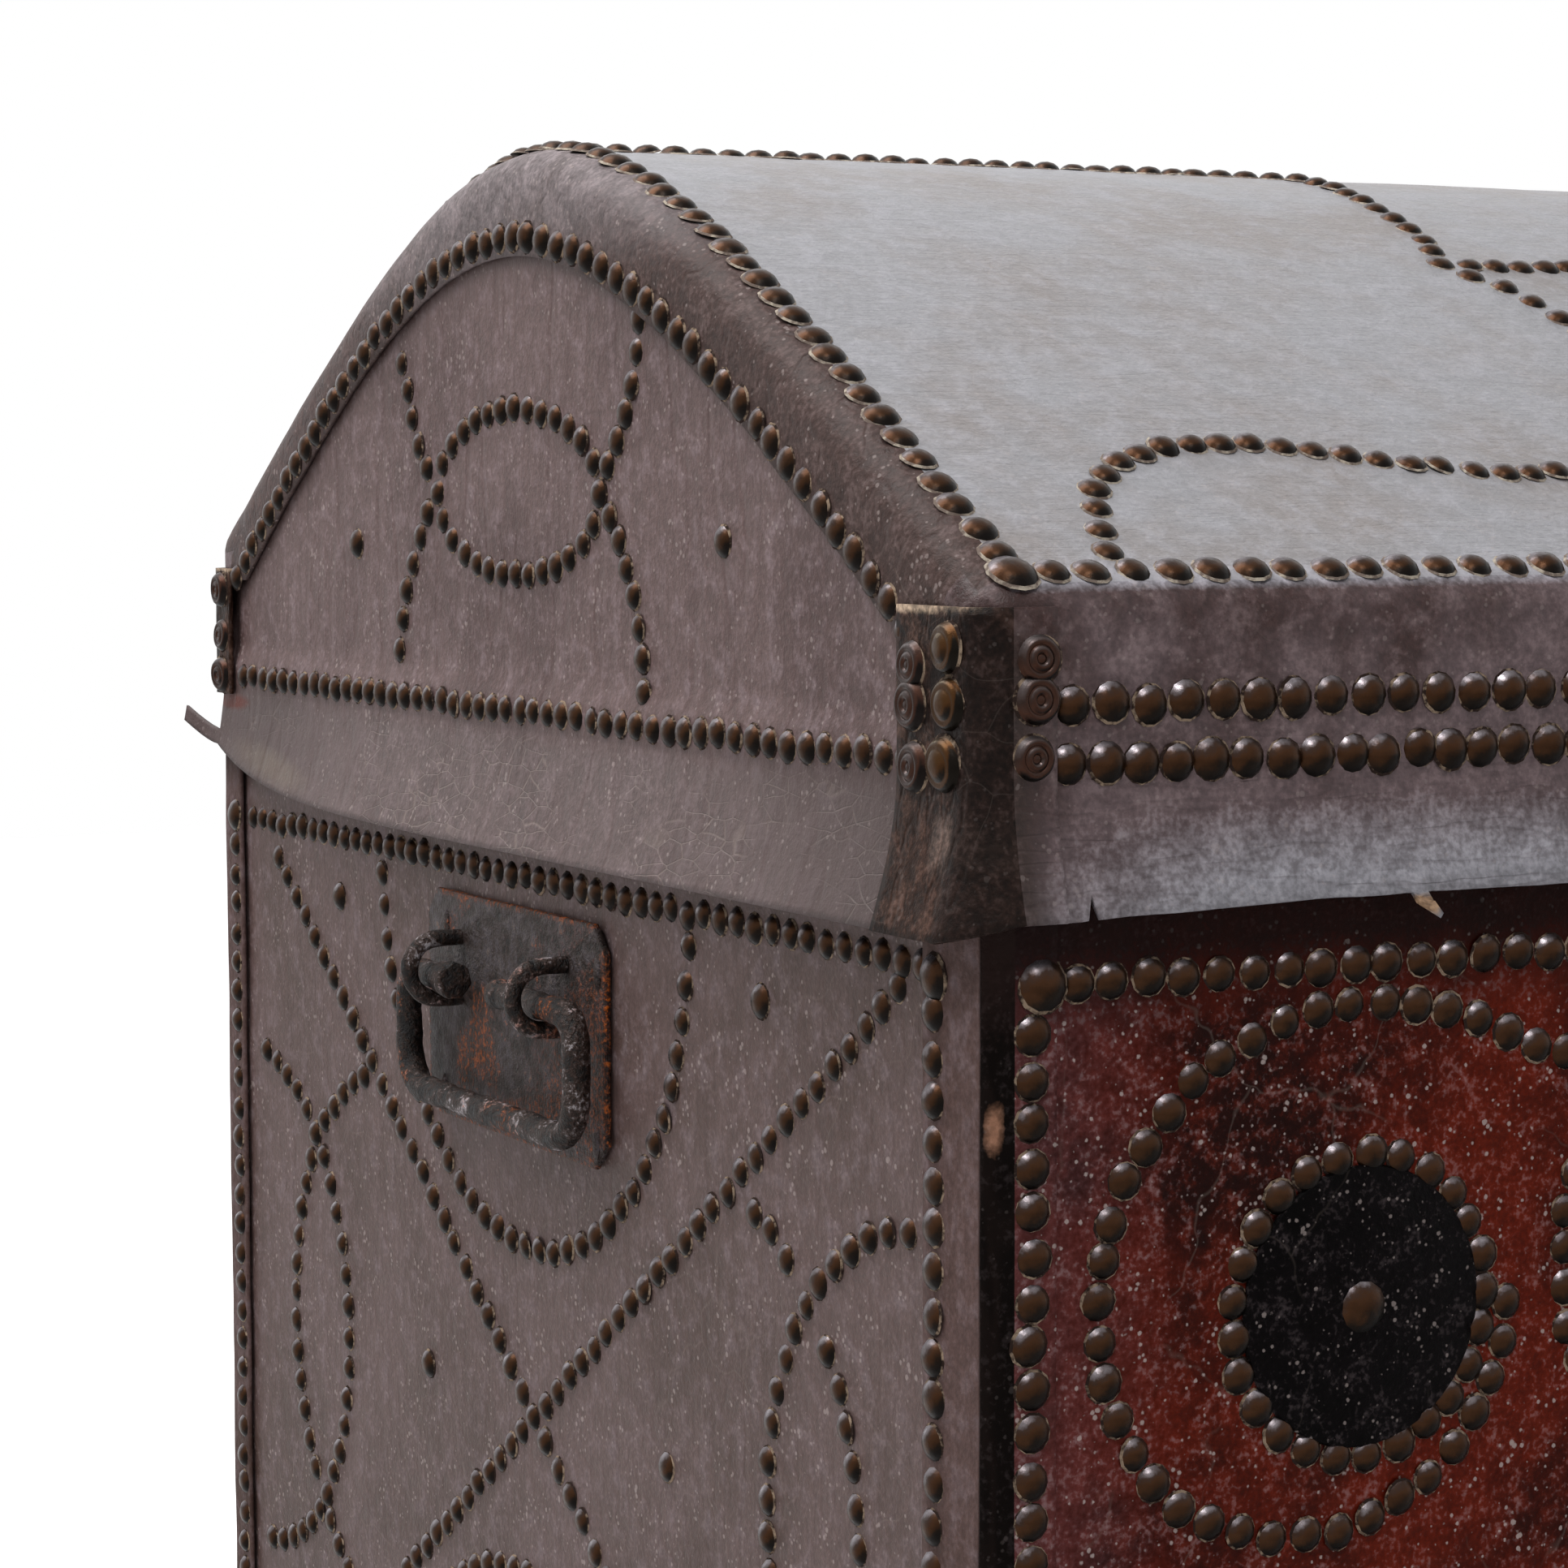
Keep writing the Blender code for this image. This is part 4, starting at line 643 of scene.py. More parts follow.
# Tints are (vertex attribute, colour, strength): each attribute is marked on the piece by its operator
FINISHES = {
    "pine": lambda tone: aged_pine("Aged pine", tone.pine, "#6f4f33"),
    "heart pine": lambda tone: aged_pine(
        "Aged pine from the heart of the log", [0.74 * part for part in tone.pine], "#5b3f28"
    ),
    "sap pine": lambda tone: aged_pine(
        "Aged pine from the outside of the log", [1.1 * part for part in tone.pine], "#7d5a3a"
    ),
    "iron": lambda tone: forged_iron(
        "Forged iron",
        ((0.43, "#070303"), (0.48, "#180d08"), (0.52, "#2b1b14"), (0.56, "#4d4341"), (0.61, "#989295")),
        rusty=0.7,
    ),
    "plate iron": lambda tone: forged_iron(
        "Hammered iron plate",
        ((0.42, "#120a07"), (0.46, "#261812"), (0.51, "#382e2c"), (0.56, "#464044"), (0.64, "#655a54")),
        rusty=0.6,
    ),
    # In the brass ramps below, the lowest stops are a painted highlight and the highest a painted shade under the rim
    "brass": lambda tone: aged_brass(
        "Tarnished brass",
        (
            (0.29, "#a8a2a8"), (0.40, "#6f686b"), (0.50, "#35261f"), (0.60, "#3a2210"),
            (0.71, "#301b0a"), (0.81, "#150b04"), (0.93, "#090402"),
        ),
    ),
    "bright brass": lambda tone: aged_brass(
        "Rubbed brass",
        ((0.32, "#8b7c68"), (0.44, "#3a2816"), (0.58, "#40280f"), (0.70, "#3f250c"), (0.84, "#0e0803")),
    ),
    "grey brass": lambda tone: aged_brass(
        "Waxed brass",
        ((0.30, "#77706f"), (0.44, "#4a4140"), (0.60, "#32241f"), (0.76, "#3b2319"), (0.92, "#100907")),
    ),
    # The dark collar round each nail is wax and also a painted contact shade where the head meets the leather
    "dark wax and shade": lambda tone: packed_wax("Dark wax and contact shade round nails", "#2b201c", "#8d7a68"),
    "pale dust": lambda tone: packed_wax("Pale dust round nails", "#6f625a", "#b0a596"),
    # The arris tint, here and on the flap, is a painted highlight along the eave's edge
    "lid": lambda tone: leather(
        "Waxed lid hide", tone.lid, "#827c7b", "#95949a", (("arris", "#a3a1a9", 0.6),),
        roughness=0.40, shine=0.5, crease=(26, 210, 210), fold=0.05, crack=(22, 22, 22), brush=(45, 300, 300),
        rub=0.03, specks=0.12, bloom=0.05, contrast=0.06,
    ),
    "turn": lambda tone: leather(
        "Turned edge of the lid hide", tone.turn, "#5c4f4d", "#8b8284", (("turn", "#42322e", 0.95),),
        roughness=0.46, shine=0.10, fold=0.15, crack=(30, 30, 30), cracks=0.10, rub=0.06, bloom=0.16,
    ),
    # The flap's hem tint is a painted sheen, its fold tint a painted shade and its arris tint a painted highlight
    "flap": lambda tone: leather(
        "Hanging front leather", tone.flap, "#3b2725", "#6c5d5e",
        (("hem", "#98979e", 0.85), ("fold", "#30231f", 0.9), ("torn", "#b08f72", 1.0), ("arris", "#a3a1a9", 0.7)),
        roughness=0.42, shine=0.22, crease=(26, 180, 180), fold=0.20, creased="flap", crack=(26, 26, 26),
        rub=0.05, specks=0.15, bloom=0.06, contrast=0.17,
    ),
    "gable": lambda tone: leather(
        "Gable hide", tone.gable, "#4f3b39", "#76676a",
        (("skirt", "#5f5453", 0.5), ("torn", "#64200f", 1.0), ("crust", "#87796a", 0.45)),
        crease=(34, 34, 9), fold=0.22, crack=(70, 70, 200), cracks=0.26, cracked="skirt", brush=(420, 420, 40),
        rub=0.06, contrast=0.11, split=0.045, shade_tone="#2a1d1a",
    ),
    "end": lambda tone: leather(
        "End leather", tone.end, **END_TONES, shine=0.25, cracks=0.08, specks=0.35, contrast=0.10, **END_GRAIN
    ),
    "front": lambda tone: leather(
        "Oxblood front leather", tone.front, "#220906", "#662417", (("bloom", "#554145", 0.7),),
        roughness=0.46, shine=0.05, crease=(40, 40, 40), fold=0.12, cracks=0.10, rub=0.08, specks=0.6, bloom=0.36,
        split=0.010, shade_tone="#0d0504",
    ),
    "back": lambda tone: leather(
        "Back leather", tone.back, "#382a27", "#5f5150",
        roughness=0.5, shine=0.25, crease=(50, 50, 9), fold=0.1, cracks=0.2, brush=(420, 420, 45), rub=0.08, bloom=0.2,
    ),
    # The corner's fold tint is a painted shade in the bend
    "corner": lambda tone: leather(
        "Dark corner leather", tone.corner, "#1a0f0b", "#4f3a31",
        (("rubbed", "#6a5a53", 0.45), ("fold", "#1d1310", 0.9), ("torn", "#8d7a68", 1.0)),
        roughness=0.44, shine=0.08, crease=(90, 90, 30), fold=0.2, crack=(60, 60, 60), brush=(300, 300, 120),
        specks=0.06, bloom=0.06, contrast=0.34,
    ),
    "strip": lambda tone: leather(
        "Corner strip leather", tone.end, **END_TONES, tints=(("edge", "#070302", 1.0), ("torn", "#8a6450", 1.0)),
        shine=0.04, specks=0.05, bloom=0.05, contrast=0.12, **END_GRAIN
    ),
    "disc": lambda tone: leather(
        "Black disc leather", tone.disc, "#040303", "#120e10",
        roughness=0.42, shine=0.03, fold=0.1, crack=(30, 30, 30), specks=0.35, bloom=0.12,
    ),
}
made_finishes = {}


def finish(name):
    """The named finish, made once with the scene's colours."""
    if name not in made_finishes:
        made_finishes[name] = FINISHES[name](bpy.context.scene.trunk_colours)
    return made_finishes[name]


# Where the nails are: lists of (place, outward direction, head width)


# A plain nail's head, the heads of wider ones, and the pitch of most lines
NAIL = 0.0085
WIDE_NAIL = 0.0098
PITCH = 0.0109
# The lowest and highest rows of an end's border, and its columns at the front and the rear
END_LOW = 0.015
END_HIGH = 0.355
END_FRONT = -0.2545
END_REAR = 0.266
# The same of the base's front and back, with the width of their nails
LONG_LOW = 0.018
LONG_HIGH = 0.352
LONG_COLUMN = 0.5262
LONG_NAIL = 0.0094
# The discs on the front: the outermost one's middle, their pitch, their two heights and the ring of nails round each
DISC_START = 0.4245
DISC_PITCH = 0.1475
DISC_HEIGHTS = (0.262, 0.108)
DISC_RING = 0.0402
# A gable's lowest row, and the middle and the half sizes of its ellipse
GABLE_ROW = 0.407
ELLIPSE_Y = 0.0068
ELLIPSE_Z = 0.4742
ELLIPSE_WIDE = 0.0620
ELLIPSE_TALL = 0.0257
# Border rows on top of the lid: across its ends, and along its front and its rear
LID_COLUMN = 0.528
LID_FRONT_ROW = -0.2725
LID_REAR_ROW = 0.2655


def rosette_places(rubbed):
    """Ringed rosette nails on the lid's corner leathers: the rubbed column next to each front corner, or the others."""
    found = []
    end_x, long_y = (reach - COVER_THICKNESS + CORNER_LIFT for reach in (LID_HALF, HALF_DEPTH))
    column = ((-0.250, 0.432), (-0.250, 0.421), (-0.251, 0.406))
    if rubbed:
        column = ((-0.268, 0.436), (-0.269, 0.422), (-0.266, 0.407))
    for side in (-1, 1):
        for y, z in column:
            found.append((Vector((side * end_x, y, z)), Vector((side, 0, 0)), 0.0136 if rubbed else 0.0126))
        if rubbed:
            continue
        for x, z in ((0.526, 0.434), (0.526, 0.423), (0.527, 0.409)):
            found.append((Vector((side * x, -long_y, z)), Vector((0, -1, 0)), 0.0122))
        for y, z in ((0.268, 0.438), (0.268, 0.422), (0.268, 0.407)):
            found.append((Vector((side * end_x, y, z)), Vector((side, 0, 0)), 0.0125))
        for x, z in ((0.527, 0.430), (0.527, 0.412)):
            found.append((Vector((side * x, long_y, z)), Vector((0, 1, 0)), 0.0125))
    return found


def end_lines():
    """Nail lines of an end of the base, as (line of (depth, height), pitch, head width)."""
    lines = [([(-0.245, z), (0.253, z)], 0.0104, NAIL) for z in (END_HIGH, END_LOW)]
    for y, width in ((END_REAR, NAIL), (END_FRONT, WIDE_NAIL)):
        lines.append(([(y, END_LOW), (y, END_HIGH)], PITCH, width))
    curves = [
        [(0.244, END_HIGH), (-0.242, END_LOW)],
        [(-0.242, 0.354), (0.244, END_LOW)],
        arc((0.007, 0.356), 0.118, 180, 360),
        arc((0.007, END_LOW), 0.118, 0, 180),
        arc((0.2525, 0.1785), 0.0915, 97, 263),
        arc((-0.250, 0.194), 0.092, -85, 82),
        arc((0.117, 0.180), 0.097, -80, 80),
        arc((-0.1256, 0.194), 0.085, 100, 258),
    ]
    return lines + [(line, PITCH, NAIL) for line in curves]


def end_places(side):
    """Nails of an end of the base, none of them under the handle's plate."""
    (_, low_y, low_z), (_, high_y, high_z) = PLATE
    spare = 0.005
    corners = ((END_FRONT, 0.353), (END_FRONT, 0.017), (END_REAR, END_HIGH), (END_REAR, END_LOW))
    spots = [(Vector((y, z)), 0.0125) for y, z in corners]
    for line, pitch, width in end_lines():
        spots += [(p, width) for p in spaced(line, pitch)]
    for y, z in ((0.165, 0.334), (-0.155, 0.335), (0.087, 0.184), (-0.094, 0.191), (0.165, 0.036), (-0.155, 0.036)):
        spots.append((Vector((y, z)), 0.0095))
    spots = [
        (p, width)
        for p, width in spots
        if not (low_y - spare < p.x < high_y + spare and low_z - spare < p.y < high_z + spare)
    ]
    found = []
    for p, width in thinned(spots, gap=0.0072):
        on_strip = p.x < STRIP_END_LEG - HALF_DEPTH or p.x > HALF_DEPTH - STRIP_REAR_LEG
        x = side * (HALF_LENGTH if on_strip else PANEL_X)
        found.append((Vector((x, p.x, p.y)), Vector((side, 0, 0)), width))
    return found


# The nail lines beside the gable's ellipse, as (depth, height): each runs in to the ellipse and out again
GABLE_ARCS = [
    [
        (0.0991, 0.5166), (0.0958, 0.5105), (0.0916, 0.5029), (0.0885, 0.4947), (0.0832, 0.4877), (0.0764, 0.4818),
        (0.0694, 0.4752),
    ],
    [
        (0.0694, 0.4752), (0.0759, 0.4686), (0.0822, 0.4614), (0.0885, 0.4544), (0.0939, 0.4468), (0.0983, 0.4375),
        (0.1014, 0.4289), (0.1040, 0.4200), (0.1062, 0.4120),
    ],
    [
        (-0.0833, 0.5235), (-0.0816, 0.5151), (-0.0788, 0.5075), (-0.0752, 0.4998), (-0.0711, 0.4927),
        (-0.0662, 0.4865), (-0.0608, 0.4808), (-0.0558, 0.4742),
    ],
    [
        (-0.0558, 0.4742), (-0.0628, 0.4668), (-0.0688, 0.4598), (-0.0742, 0.4512), (-0.0784, 0.4433),
        (-0.0814, 0.4352), (-0.0838, 0.4270), (-0.0862, 0.4165),
    ],
]


def gable_places(side):
    """Nails of a gable: rows round its edge, an ellipse in the middle and an arc on either side."""
    row = [(-0.242, GABLE_ROW), (0.251, GABLE_ROW)]
    edge = [(y, window_height(y) + 0.0057) for y in steps(-0.243, 0.257, 60)]
    turns = steps(0, math.tau, 73)[:-1]
    ellipse = [(ELLIPSE_Y + ELLIPSE_WIDE * math.cos(a), ELLIPSE_Z + ELLIPSE_TALL * math.sin(a)) for a in turns]
    lines = [(row, 0.0106, NAIL), (edge, PITCH, 0.0092), (ellipse, 0.0102, NAIL)]
    lines += [(line, 0.0100, NAIL) for line in GABLE_ARCS]
    spots = []
    for line, pitch, width in lines:
        border = line in (row, edge)
        for p in spaced(line, pitch, closed=line is ellipse):
            if p.y > 0.4 and (border or p.y < window_height(p.x) + 0.001):
                spots.append((p, width))
    single = [(Vector((0.140, 0.457)), 0.0095), (Vector((-0.137, 0.460)), 0.0095)]
    found = []
    for p, width in thinned(spots, gap=0.0060) + single:
        on_turn = p.y > window_height(p.x) - 0.001 and p.y > 0.43
        x = side * (LID_HALF if on_turn else gable_out(p.y))
        found.append((Vector((x, p.x, p.y)), Vector((side, 0, 0)), width))
    return found


def dome_place(x, y, width):
    """A nail on the top of the lid."""
    v = abs(y - CROWN_SHIFT)
    across, up = dome_normal(v)
    facing = 1 if y > CROWN_SHIFT else -1
    return Vector((x, y, dome_height(v))), Vector((0, facing * across, up)), width


def skirt_place(x, z, width):
    """A nail on the leather under the front eave."""
    slope = FLARE_POWER * SKIRT_FLARE * max(SKIRT_BEND - z, 0) ** (FLARE_POWER - 1) / SKIRT_DROP**FLARE_POWER
    return Vector((x, -HALF_DEPTH - hang(z), z)), Vector((0, -1, -slope)).normalized(), width


# Nail lines on the lid, as millimetres from its front left corner
LID_CURVES = [
    [
        (45, 15), (50, 29), (58, 42), (70, 52), (87, 59), (104, 61), (121, 61), (140, 58), (159, 53), (178, 50),
        (197, 47), (214, 49),
    ],
    [(20, 270), (100, 271), (200, 270), (262, 270), (274, 262), (275, 240), (271, 205), (268, 182), (262, 165)],
    [(272, 164), (290, 163), (309, 164), (330, 168)],
    [(267, 156), (273, 151), (277, 144), (280, 136), (281, 120), (278, 100)],
]


def lid_top_places():
    """Nails on top of the lid: its border rows and the curves within them."""
    found = []
    section = [(y, z) for y, z in cover_section(0) if z > ARRIS_Z]
    for side in (-1, 1):
        for p in spaced(section, 0.0112):
            if abs(p.x) < 0.2665:
                found.append(dome_place(side * LID_COLUMN, p.x, WIDE_NAIL))
    for depth in (LID_FRONT_ROW, LID_REAR_ROW):
        for p in spaced([(-LID_COLUMN, 0), (LID_COLUMN, 0)], 0.0118):
            corner = abs(p.x) > LID_COLUMN - 0.0005
            found.append(dome_place(p.x, depth, 0.0125 if corner else WIDE_NAIL))
    for line in LID_CURVES:
        for mirror in (-1, 1):
            for p in spaced([(x / 1000 - 0.540, y / 1000 - 0.280) for x, y in line], 0.0095):
                found.append(dome_place(-mirror * p.x, p.y, 0.0088))
    return found


def eave_places():
    """The two rows of nails under each eave."""
    found = []
    for z, start, pitch in ((0.422, 0.5148, 0.0112), (0.407, 0.5158, 0.0106)):
        for p in spaced([(-start, 0), (start, 0)], pitch):
            found.append(skirt_place(p.x, z, 0.0104))
            if abs(abs(p.x) - HINGE_X) > 0.026:
                found.append((Vector((p.x, HALF_DEPTH, z)), Vector((0, 1, 0)), WIDE_NAIL))
    return found


# The scroll of nails round a disc, as (along, up) from the disc's middle, in metres
SCROLL = [
    (0.0480, -0.0040), (0.0476, -0.0132), (0.0440, -0.0213), (0.0396, -0.0301), (0.0346, -0.0380),
    (0.0261, -0.0455), (0.0180, -0.0512), (0.0104, -0.0540), (0.0014, -0.0581), (-0.0082, -0.0597),
    (-0.0264, -0.0585), (-0.0375, -0.0552), (-0.0468, -0.0520), (-0.0545, -0.0485), (-0.0616, -0.0424),
    (-0.0673, -0.0356), (-0.0723, -0.0269), (-0.0755, -0.0195), (-0.0790, -0.0127), (-0.0810, 0.0028),
    (-0.0814, 0.0114), (-0.0793, 0.0216), (-0.0769, 0.0310), (-0.0729, 0.0389), (-0.0620, 0.0537),
    (-0.0490, 0.0661), (-0.0326, 0.0736), (-0.0135, 0.0793), (0.0036, 0.0798), (0.0139, 0.0788),
    (0.0237, 0.0769), (0.0339, 0.0747), (0.0430, 0.0700), (0.0516, 0.0673), (0.0607, 0.0633), (0.0669, 0.0621),
]


def front_places(facing):
    """Nails of the base's front, border rows and scrolls round the discs, or of its back, border rows alone."""
    spots = []
    for x in (-LONG_COLUMN + 0.0030, LONG_COLUMN - 0.0030):
        spots += [(Vector((x, z)), 0.0135) for z in (LONG_HIGH + 0.0005, LONG_LOW - 0.0005)]
    row = spaced([(-0.5115, 0), (0.5115, 0)], 0.0106)
    spots += [(Vector((p.x, z)), LONG_NAIL) for z in (LONG_HIGH, LONG_LOW) for p in row]
    for x in (-LONG_COLUMN, LONG_COLUMN):
        spots += [(p, 0.0100) for p in spaced([(x, 0.0290), (x, 0.3405)], 0.0112)]
    for x, z in disc_middles() if facing < 0 else ():
        sign = 1 if x < 0 else -1
        flip = 1 if z > 0.185 else -1
        ring = arc((0, 0), DISC_RING, 0, 360)[:-1]
        for line, pitch, closed in ((ring, 0.0100, True), (SCROLL, 0.0104, False)):
            moved = [(x + sign * u, z + flip * v) for u, v in line]
            spots += [(p, LONG_NAIL) for p in spaced(moved, pitch, closed)]
        spots.append((Vector((x, z)), 0.0150))
    if facing < 0:
        spots = [spot for spot in spots if abs(spot[0].x) > 0.030 or not 0.275 < spot[0].y < 0.36]
    else:
        spots = [spot for spot in spots if abs(abs(spot[0].x) - HINGE_X) > 0.028 or spot[0].y < 0.256]
    found = []
    for p, width in thinned(spots, gap=0.0076):
        on_strip = abs(p.x) > HALF_LENGTH - STRIP_FRONT_LEG
        y = facing * (HALF_DEPTH if on_strip else PANEL_Y)
        found.append((Vector((p.x, y, p.y)), Vector((0, facing, 0)), width))
    return found


def disc_middles():
    """Middles of the dark discs on the front of the base, as (length, height)."""
    outs = [sign * (DISC_START - DISC_PITCH * step) for sign in (-1, 1) for step in range(3)]
    return [(x, z) for x in outs for z in DISC_HEIGHTS]


# Settings


def colour_setting(name, description, code):
    """A colour that the panel can change."""
    return bpy.props.FloatVectorProperty(
        name=name, description=description, subtype="COLOR", size=3, min=0, max=1, default=linear(code)
    )


def length_setting(name, description, default, low, high):
    """A length that the panel can change."""
    return bpy.props.FloatProperty(
        name=name, description=description, default=default, min=low, max=high, unit="LENGTH"
    )


def power_setting(name, description, default):
    """A lamp's power that the panel can change."""
    return bpy.props.FloatProperty(name=name, description=description, default=default, min=0, max=500, unit="POWER")


class TrunkColours(bpy.types.PropertyGroup):
    """Main colour of each material, before stains and wear."""

    lid: colour_setting("Lid hide", "Hide over the lid", "#8b8a8e")
    turn: colour_setting("Turned edge", "Lid hide where it turns over the gable", "#746a6b")
    flap: colour_setting("Front flap", "Leather under the lid's eaves", "#625254")
    gable: colour_setting("Gables", "Leather of the gables and end skirts", "#5e4a48")
    end: colour_setting("Ends", "Leather on the ends of the base", "#594643")
    front: colour_setting("Front", "Leather on the front of the base", "#5a190b")
    back: colour_setting("Back", "Leather on the back of the base", "#4c3a36")
    corner: colour_setting("Lid corners", "Leather folded round the lid's corners", "#2f1e17")
    disc: colour_setting("Discs", "Dark discs on the front", "#090607")
    pine: colour_setting("Pine", "Pale grain of the boards", "#b08a5e")


class TrunkLeather(bpy.types.PropertyGroup):
    """Sizes of the leathers."""

    hide: length_setting("Lid's hides", "Thickness of the leathers on the lid", 0.0015, 0.0005, 0.003)
    panel: length_setting("Base's hides", "Thickness of the leathers on the base", 0.0012, 0.0005, 0.003)
    ripple: length_setting("Ripple", "How deep the hides sink between their nails", 0.0007, 0, 0.002)
    disc_radius: length_setting("Disc radius", "Radius of the dark discs on the front", 0.0375, 0.02, 0.045)


class TrunkNails(bpy.types.PropertyGroup):
    """Sizes of the brass-headed nails."""

    height: bpy.props.FloatProperty(
        name="Dome", description="Height of a nail's head over its radius", default=0.52, min=0.2, max=1
    )
    seed: bpy.props.IntProperty(
        name="Seed", description="Start of the small differences between nails", default=7, min=0
    )


class TrunkStudio(bpy.types.PropertyGroup):
    """Light round the trunk."""

    world: bpy.props.FloatProperty(
        name="World", description="Strength of the light from all round", default=0.30, min=0, max=2
    )
    key: power_setting("Key lamp", "Power of the lamp above the left end", 50)
    fill: power_setting("Fill lamp", "Power of the lamp above the front", 15)


# Pieces


class TRUNK_OT_timber(bpy.types.Operator):
    """Gives the boards and staves their pine"""

    bl_idname = "trunk.timber"
    bl_label = "Pine boards"

    def execute(self, context):
        timber = [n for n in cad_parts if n.endswith("_board") or n.endswith("_rail") or n.startswith("lid_stave")]
        for index, name in enumerate(sorted(timber)):
            dress(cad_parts[name], finish(("pine", "heart pine", "sap pine")[index % 3]))
        return {"FINISHED"}


class TRUNK_OT_ironwork(bpy.types.Operator):
    """Gives the hinges and the lock their forged iron"""

    bl_idname = "trunk.ironwork"
    bl_label = "Hinges and lock"

    def execute(self, context):
        for name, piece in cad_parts.items():
            if "hinge" in name or name.startswith("lock") or "staple" in name:
                dress(piece, finish("iron"))
        return {"FINISHED"}


class TRUNK_OT_lid_hide(bpy.types.Operator):
    """Makes the hide over the lid, turned over both gables and hanging at the front"""

    bl_idname = "trunk.lid_hide"
    bl_label = "Lid hide"

    def execute(self, context):
        start = LID_HALF - END_RADIUS
        stations = self.stations()
        columns = self.columns(stations, start)
        bm, grid = sheet(columns)
        self.trim(bm, grid, len(stations) - 1)
        for sign in (-1, 1):
            low = open_edges(bm, lambda v: abs(v.co.x - sign * start) < 1e-5 and v.co.z <= COVER_LOW + 1e-5)
            extrude_by(bm, low, (sign * (CORNER_X - start), 0, 0))
        bmesh.ops.remove_doubles(bm, verts=bm.verts, dist=1e-5)
        self.tear(bm)
        face_out(bm, (0, 0, 0.4))
        crumple(bm, context.scene.trunk_leather.ripple)
        for face in bm.faces:
            centre = face.calc_center_median()
            hanging = abs(centre.y) > WALL_Y and centre.z < ARRIS_Z - 0.001
            face.material_index = 1 if hanging else 2 if abs(centre.x) > TURN_X else 0
        leathers = [finish("lid"), finish("flap"), finish("turn")]
        solids = ("lid_cover_leather", "front_skirt", "lid_back_leather")
        piece = add_piece("lid_hide", bm, leathers, "lid", solids)
        for name in ("hem", "fold", "arris", "turn", "torn"):
            mark(piece, name, getattr(self, name))
        mark(piece, "flap", flap_share)
        thicken(piece, context.scene.trunk_leather.hide)
        return {"FINISHED"}

    def stations(self):
        """Steps of the turn on to a gable, as (distance from the middle, inset of the section, share of the turn)."""
        turns = steps(0, math.pi / 2, 7)
        found = [(LID_HALF - END_RADIUS * (1 - math.sin(a)), END_RADIUS * (1 - math.cos(a)), 0) for a in turns]
        return found + [(LID_HALF, END_RADIUS, share) for share in steps(0, 1, 6)[1:]]

    def columns(self, stations, start):
        """The hide's sections from the left gable to the right one, each from the front hem to the foot of the back."""
        window = window_section(len(cover_section(0)))
        cuts = [NOTCH_X + shift for shift in (-NOTCH_HALF, 0, NOTCH_HALF)]
        cuts += [SCRAP_X + shift for shift in (-SCRAP_HALF, SCRAP_HALF)]
        middle = [(x, 0, 0) for x in sorted([*steps(-start, start, 150)[1:-1], *cuts])]
        columns = []
        for x, inset, share in [(-x, i, s) for x, i, s in reversed(stations)] + middle + stations:
            column = [
                (x, (y * (1 - share) + b * share), (z * (1 - share) + c * share))
                for (y, z), (b, c) in zip(cover_section(inset), window)
            ]
            hem = front_hem(x)
            front = [hem + (COVER_LOW - hem) * step / FLAP_ROWS for step in range(FLAP_ROWS)]
            rear = [COVER_LOW + (GABLE_LOW - COVER_LOW) * (step + 1) / FLAP_ROWS for step in range(FLAP_ROWS)]
            column = [(x, -HALF_DEPTH - hang(z), z) for z in front] + column + [(x, HALF_DEPTH, z) for z in rear]
            columns.append(column)
        return columns

    def trim(self, bm, grid, ends):
        """Cuts away the hanging rows of the columns that turn on to a gable."""
        flaps = []
        for column in grid[:ends] + grid[-ends:]:
            flaps += column[:FLAP_ROWS] + column[-FLAP_ROWS:]
        bmesh.ops.delete(bm, geom=flaps, context="VERTS")

    def tear(self, bm):
        """Tears a scrap of the front hem loose, so that it curls out."""
        scrap = open_edges(bm, lambda v: v.co.y < -WALL_Y and abs(v.co.x - SCRAP_X) < SCRAP_HALF + 1e-4)
        for slide, turn in (((0.0012, -0.0012, -0.0022), 12), ((0.0022, -0.0020, -0.0016), 38)):
            moved = extrude_by(bm, scrap, slide)
            centre = sum((vert.co for vert in moved), Vector()) / len(moved)
            bmesh.ops.rotate(bm, verts=moved, cent=centre, matrix=Matrix.Rotation(math.radians(turn), 3, "Y"))
            scrap = open_edges(bm, lambda v: v in moved)

    def hem(self, p):
        """Share of painted sheen along the front hem, where the flared leather turns up to the light, less beside the
        corners.
        """
        return (0.400 - p.z) / 0.036 * (0.25 + 0.75 * ease((0.54 - abs(p.x)) / 0.09)) if p.y < -WALL_Y else 0

    def fold(self, p):
        """Share of painted shade in the fold beside each corner leather, under the eaves."""
        return (1.15 - (0.5395 - abs(p.x)) / 0.022) * ease((0.450 - p.z) / 0.016) if abs(p.y) > WALL_Y else 0

    def arris(self, p):
        """Share of a painted highlight along the edge of an eave."""
        return 1 - abs(p.z - ARRIS_Z) / 0.0045 if abs(p.y) > WALL_Y and abs(p.x) < 0.53 else 0

    def turn(self, p):
        """Share of a darker tint on the turn over a gable: more towards the eaves, most at the front."""
        return 0.05 + 0.95 * ease((CROWN - p.z) / 0.07) * (0.55 + 0.45 * ease(0.5 - 4 * p.y))

    def torn(self, p):
        """1 on the scrap that is torn loose from the front hem."""
        return int(p.y < -WALL_Y and abs(p.x - SCRAP_X) < 0.004 and p.z < FRONT_HEM - 0.0012)


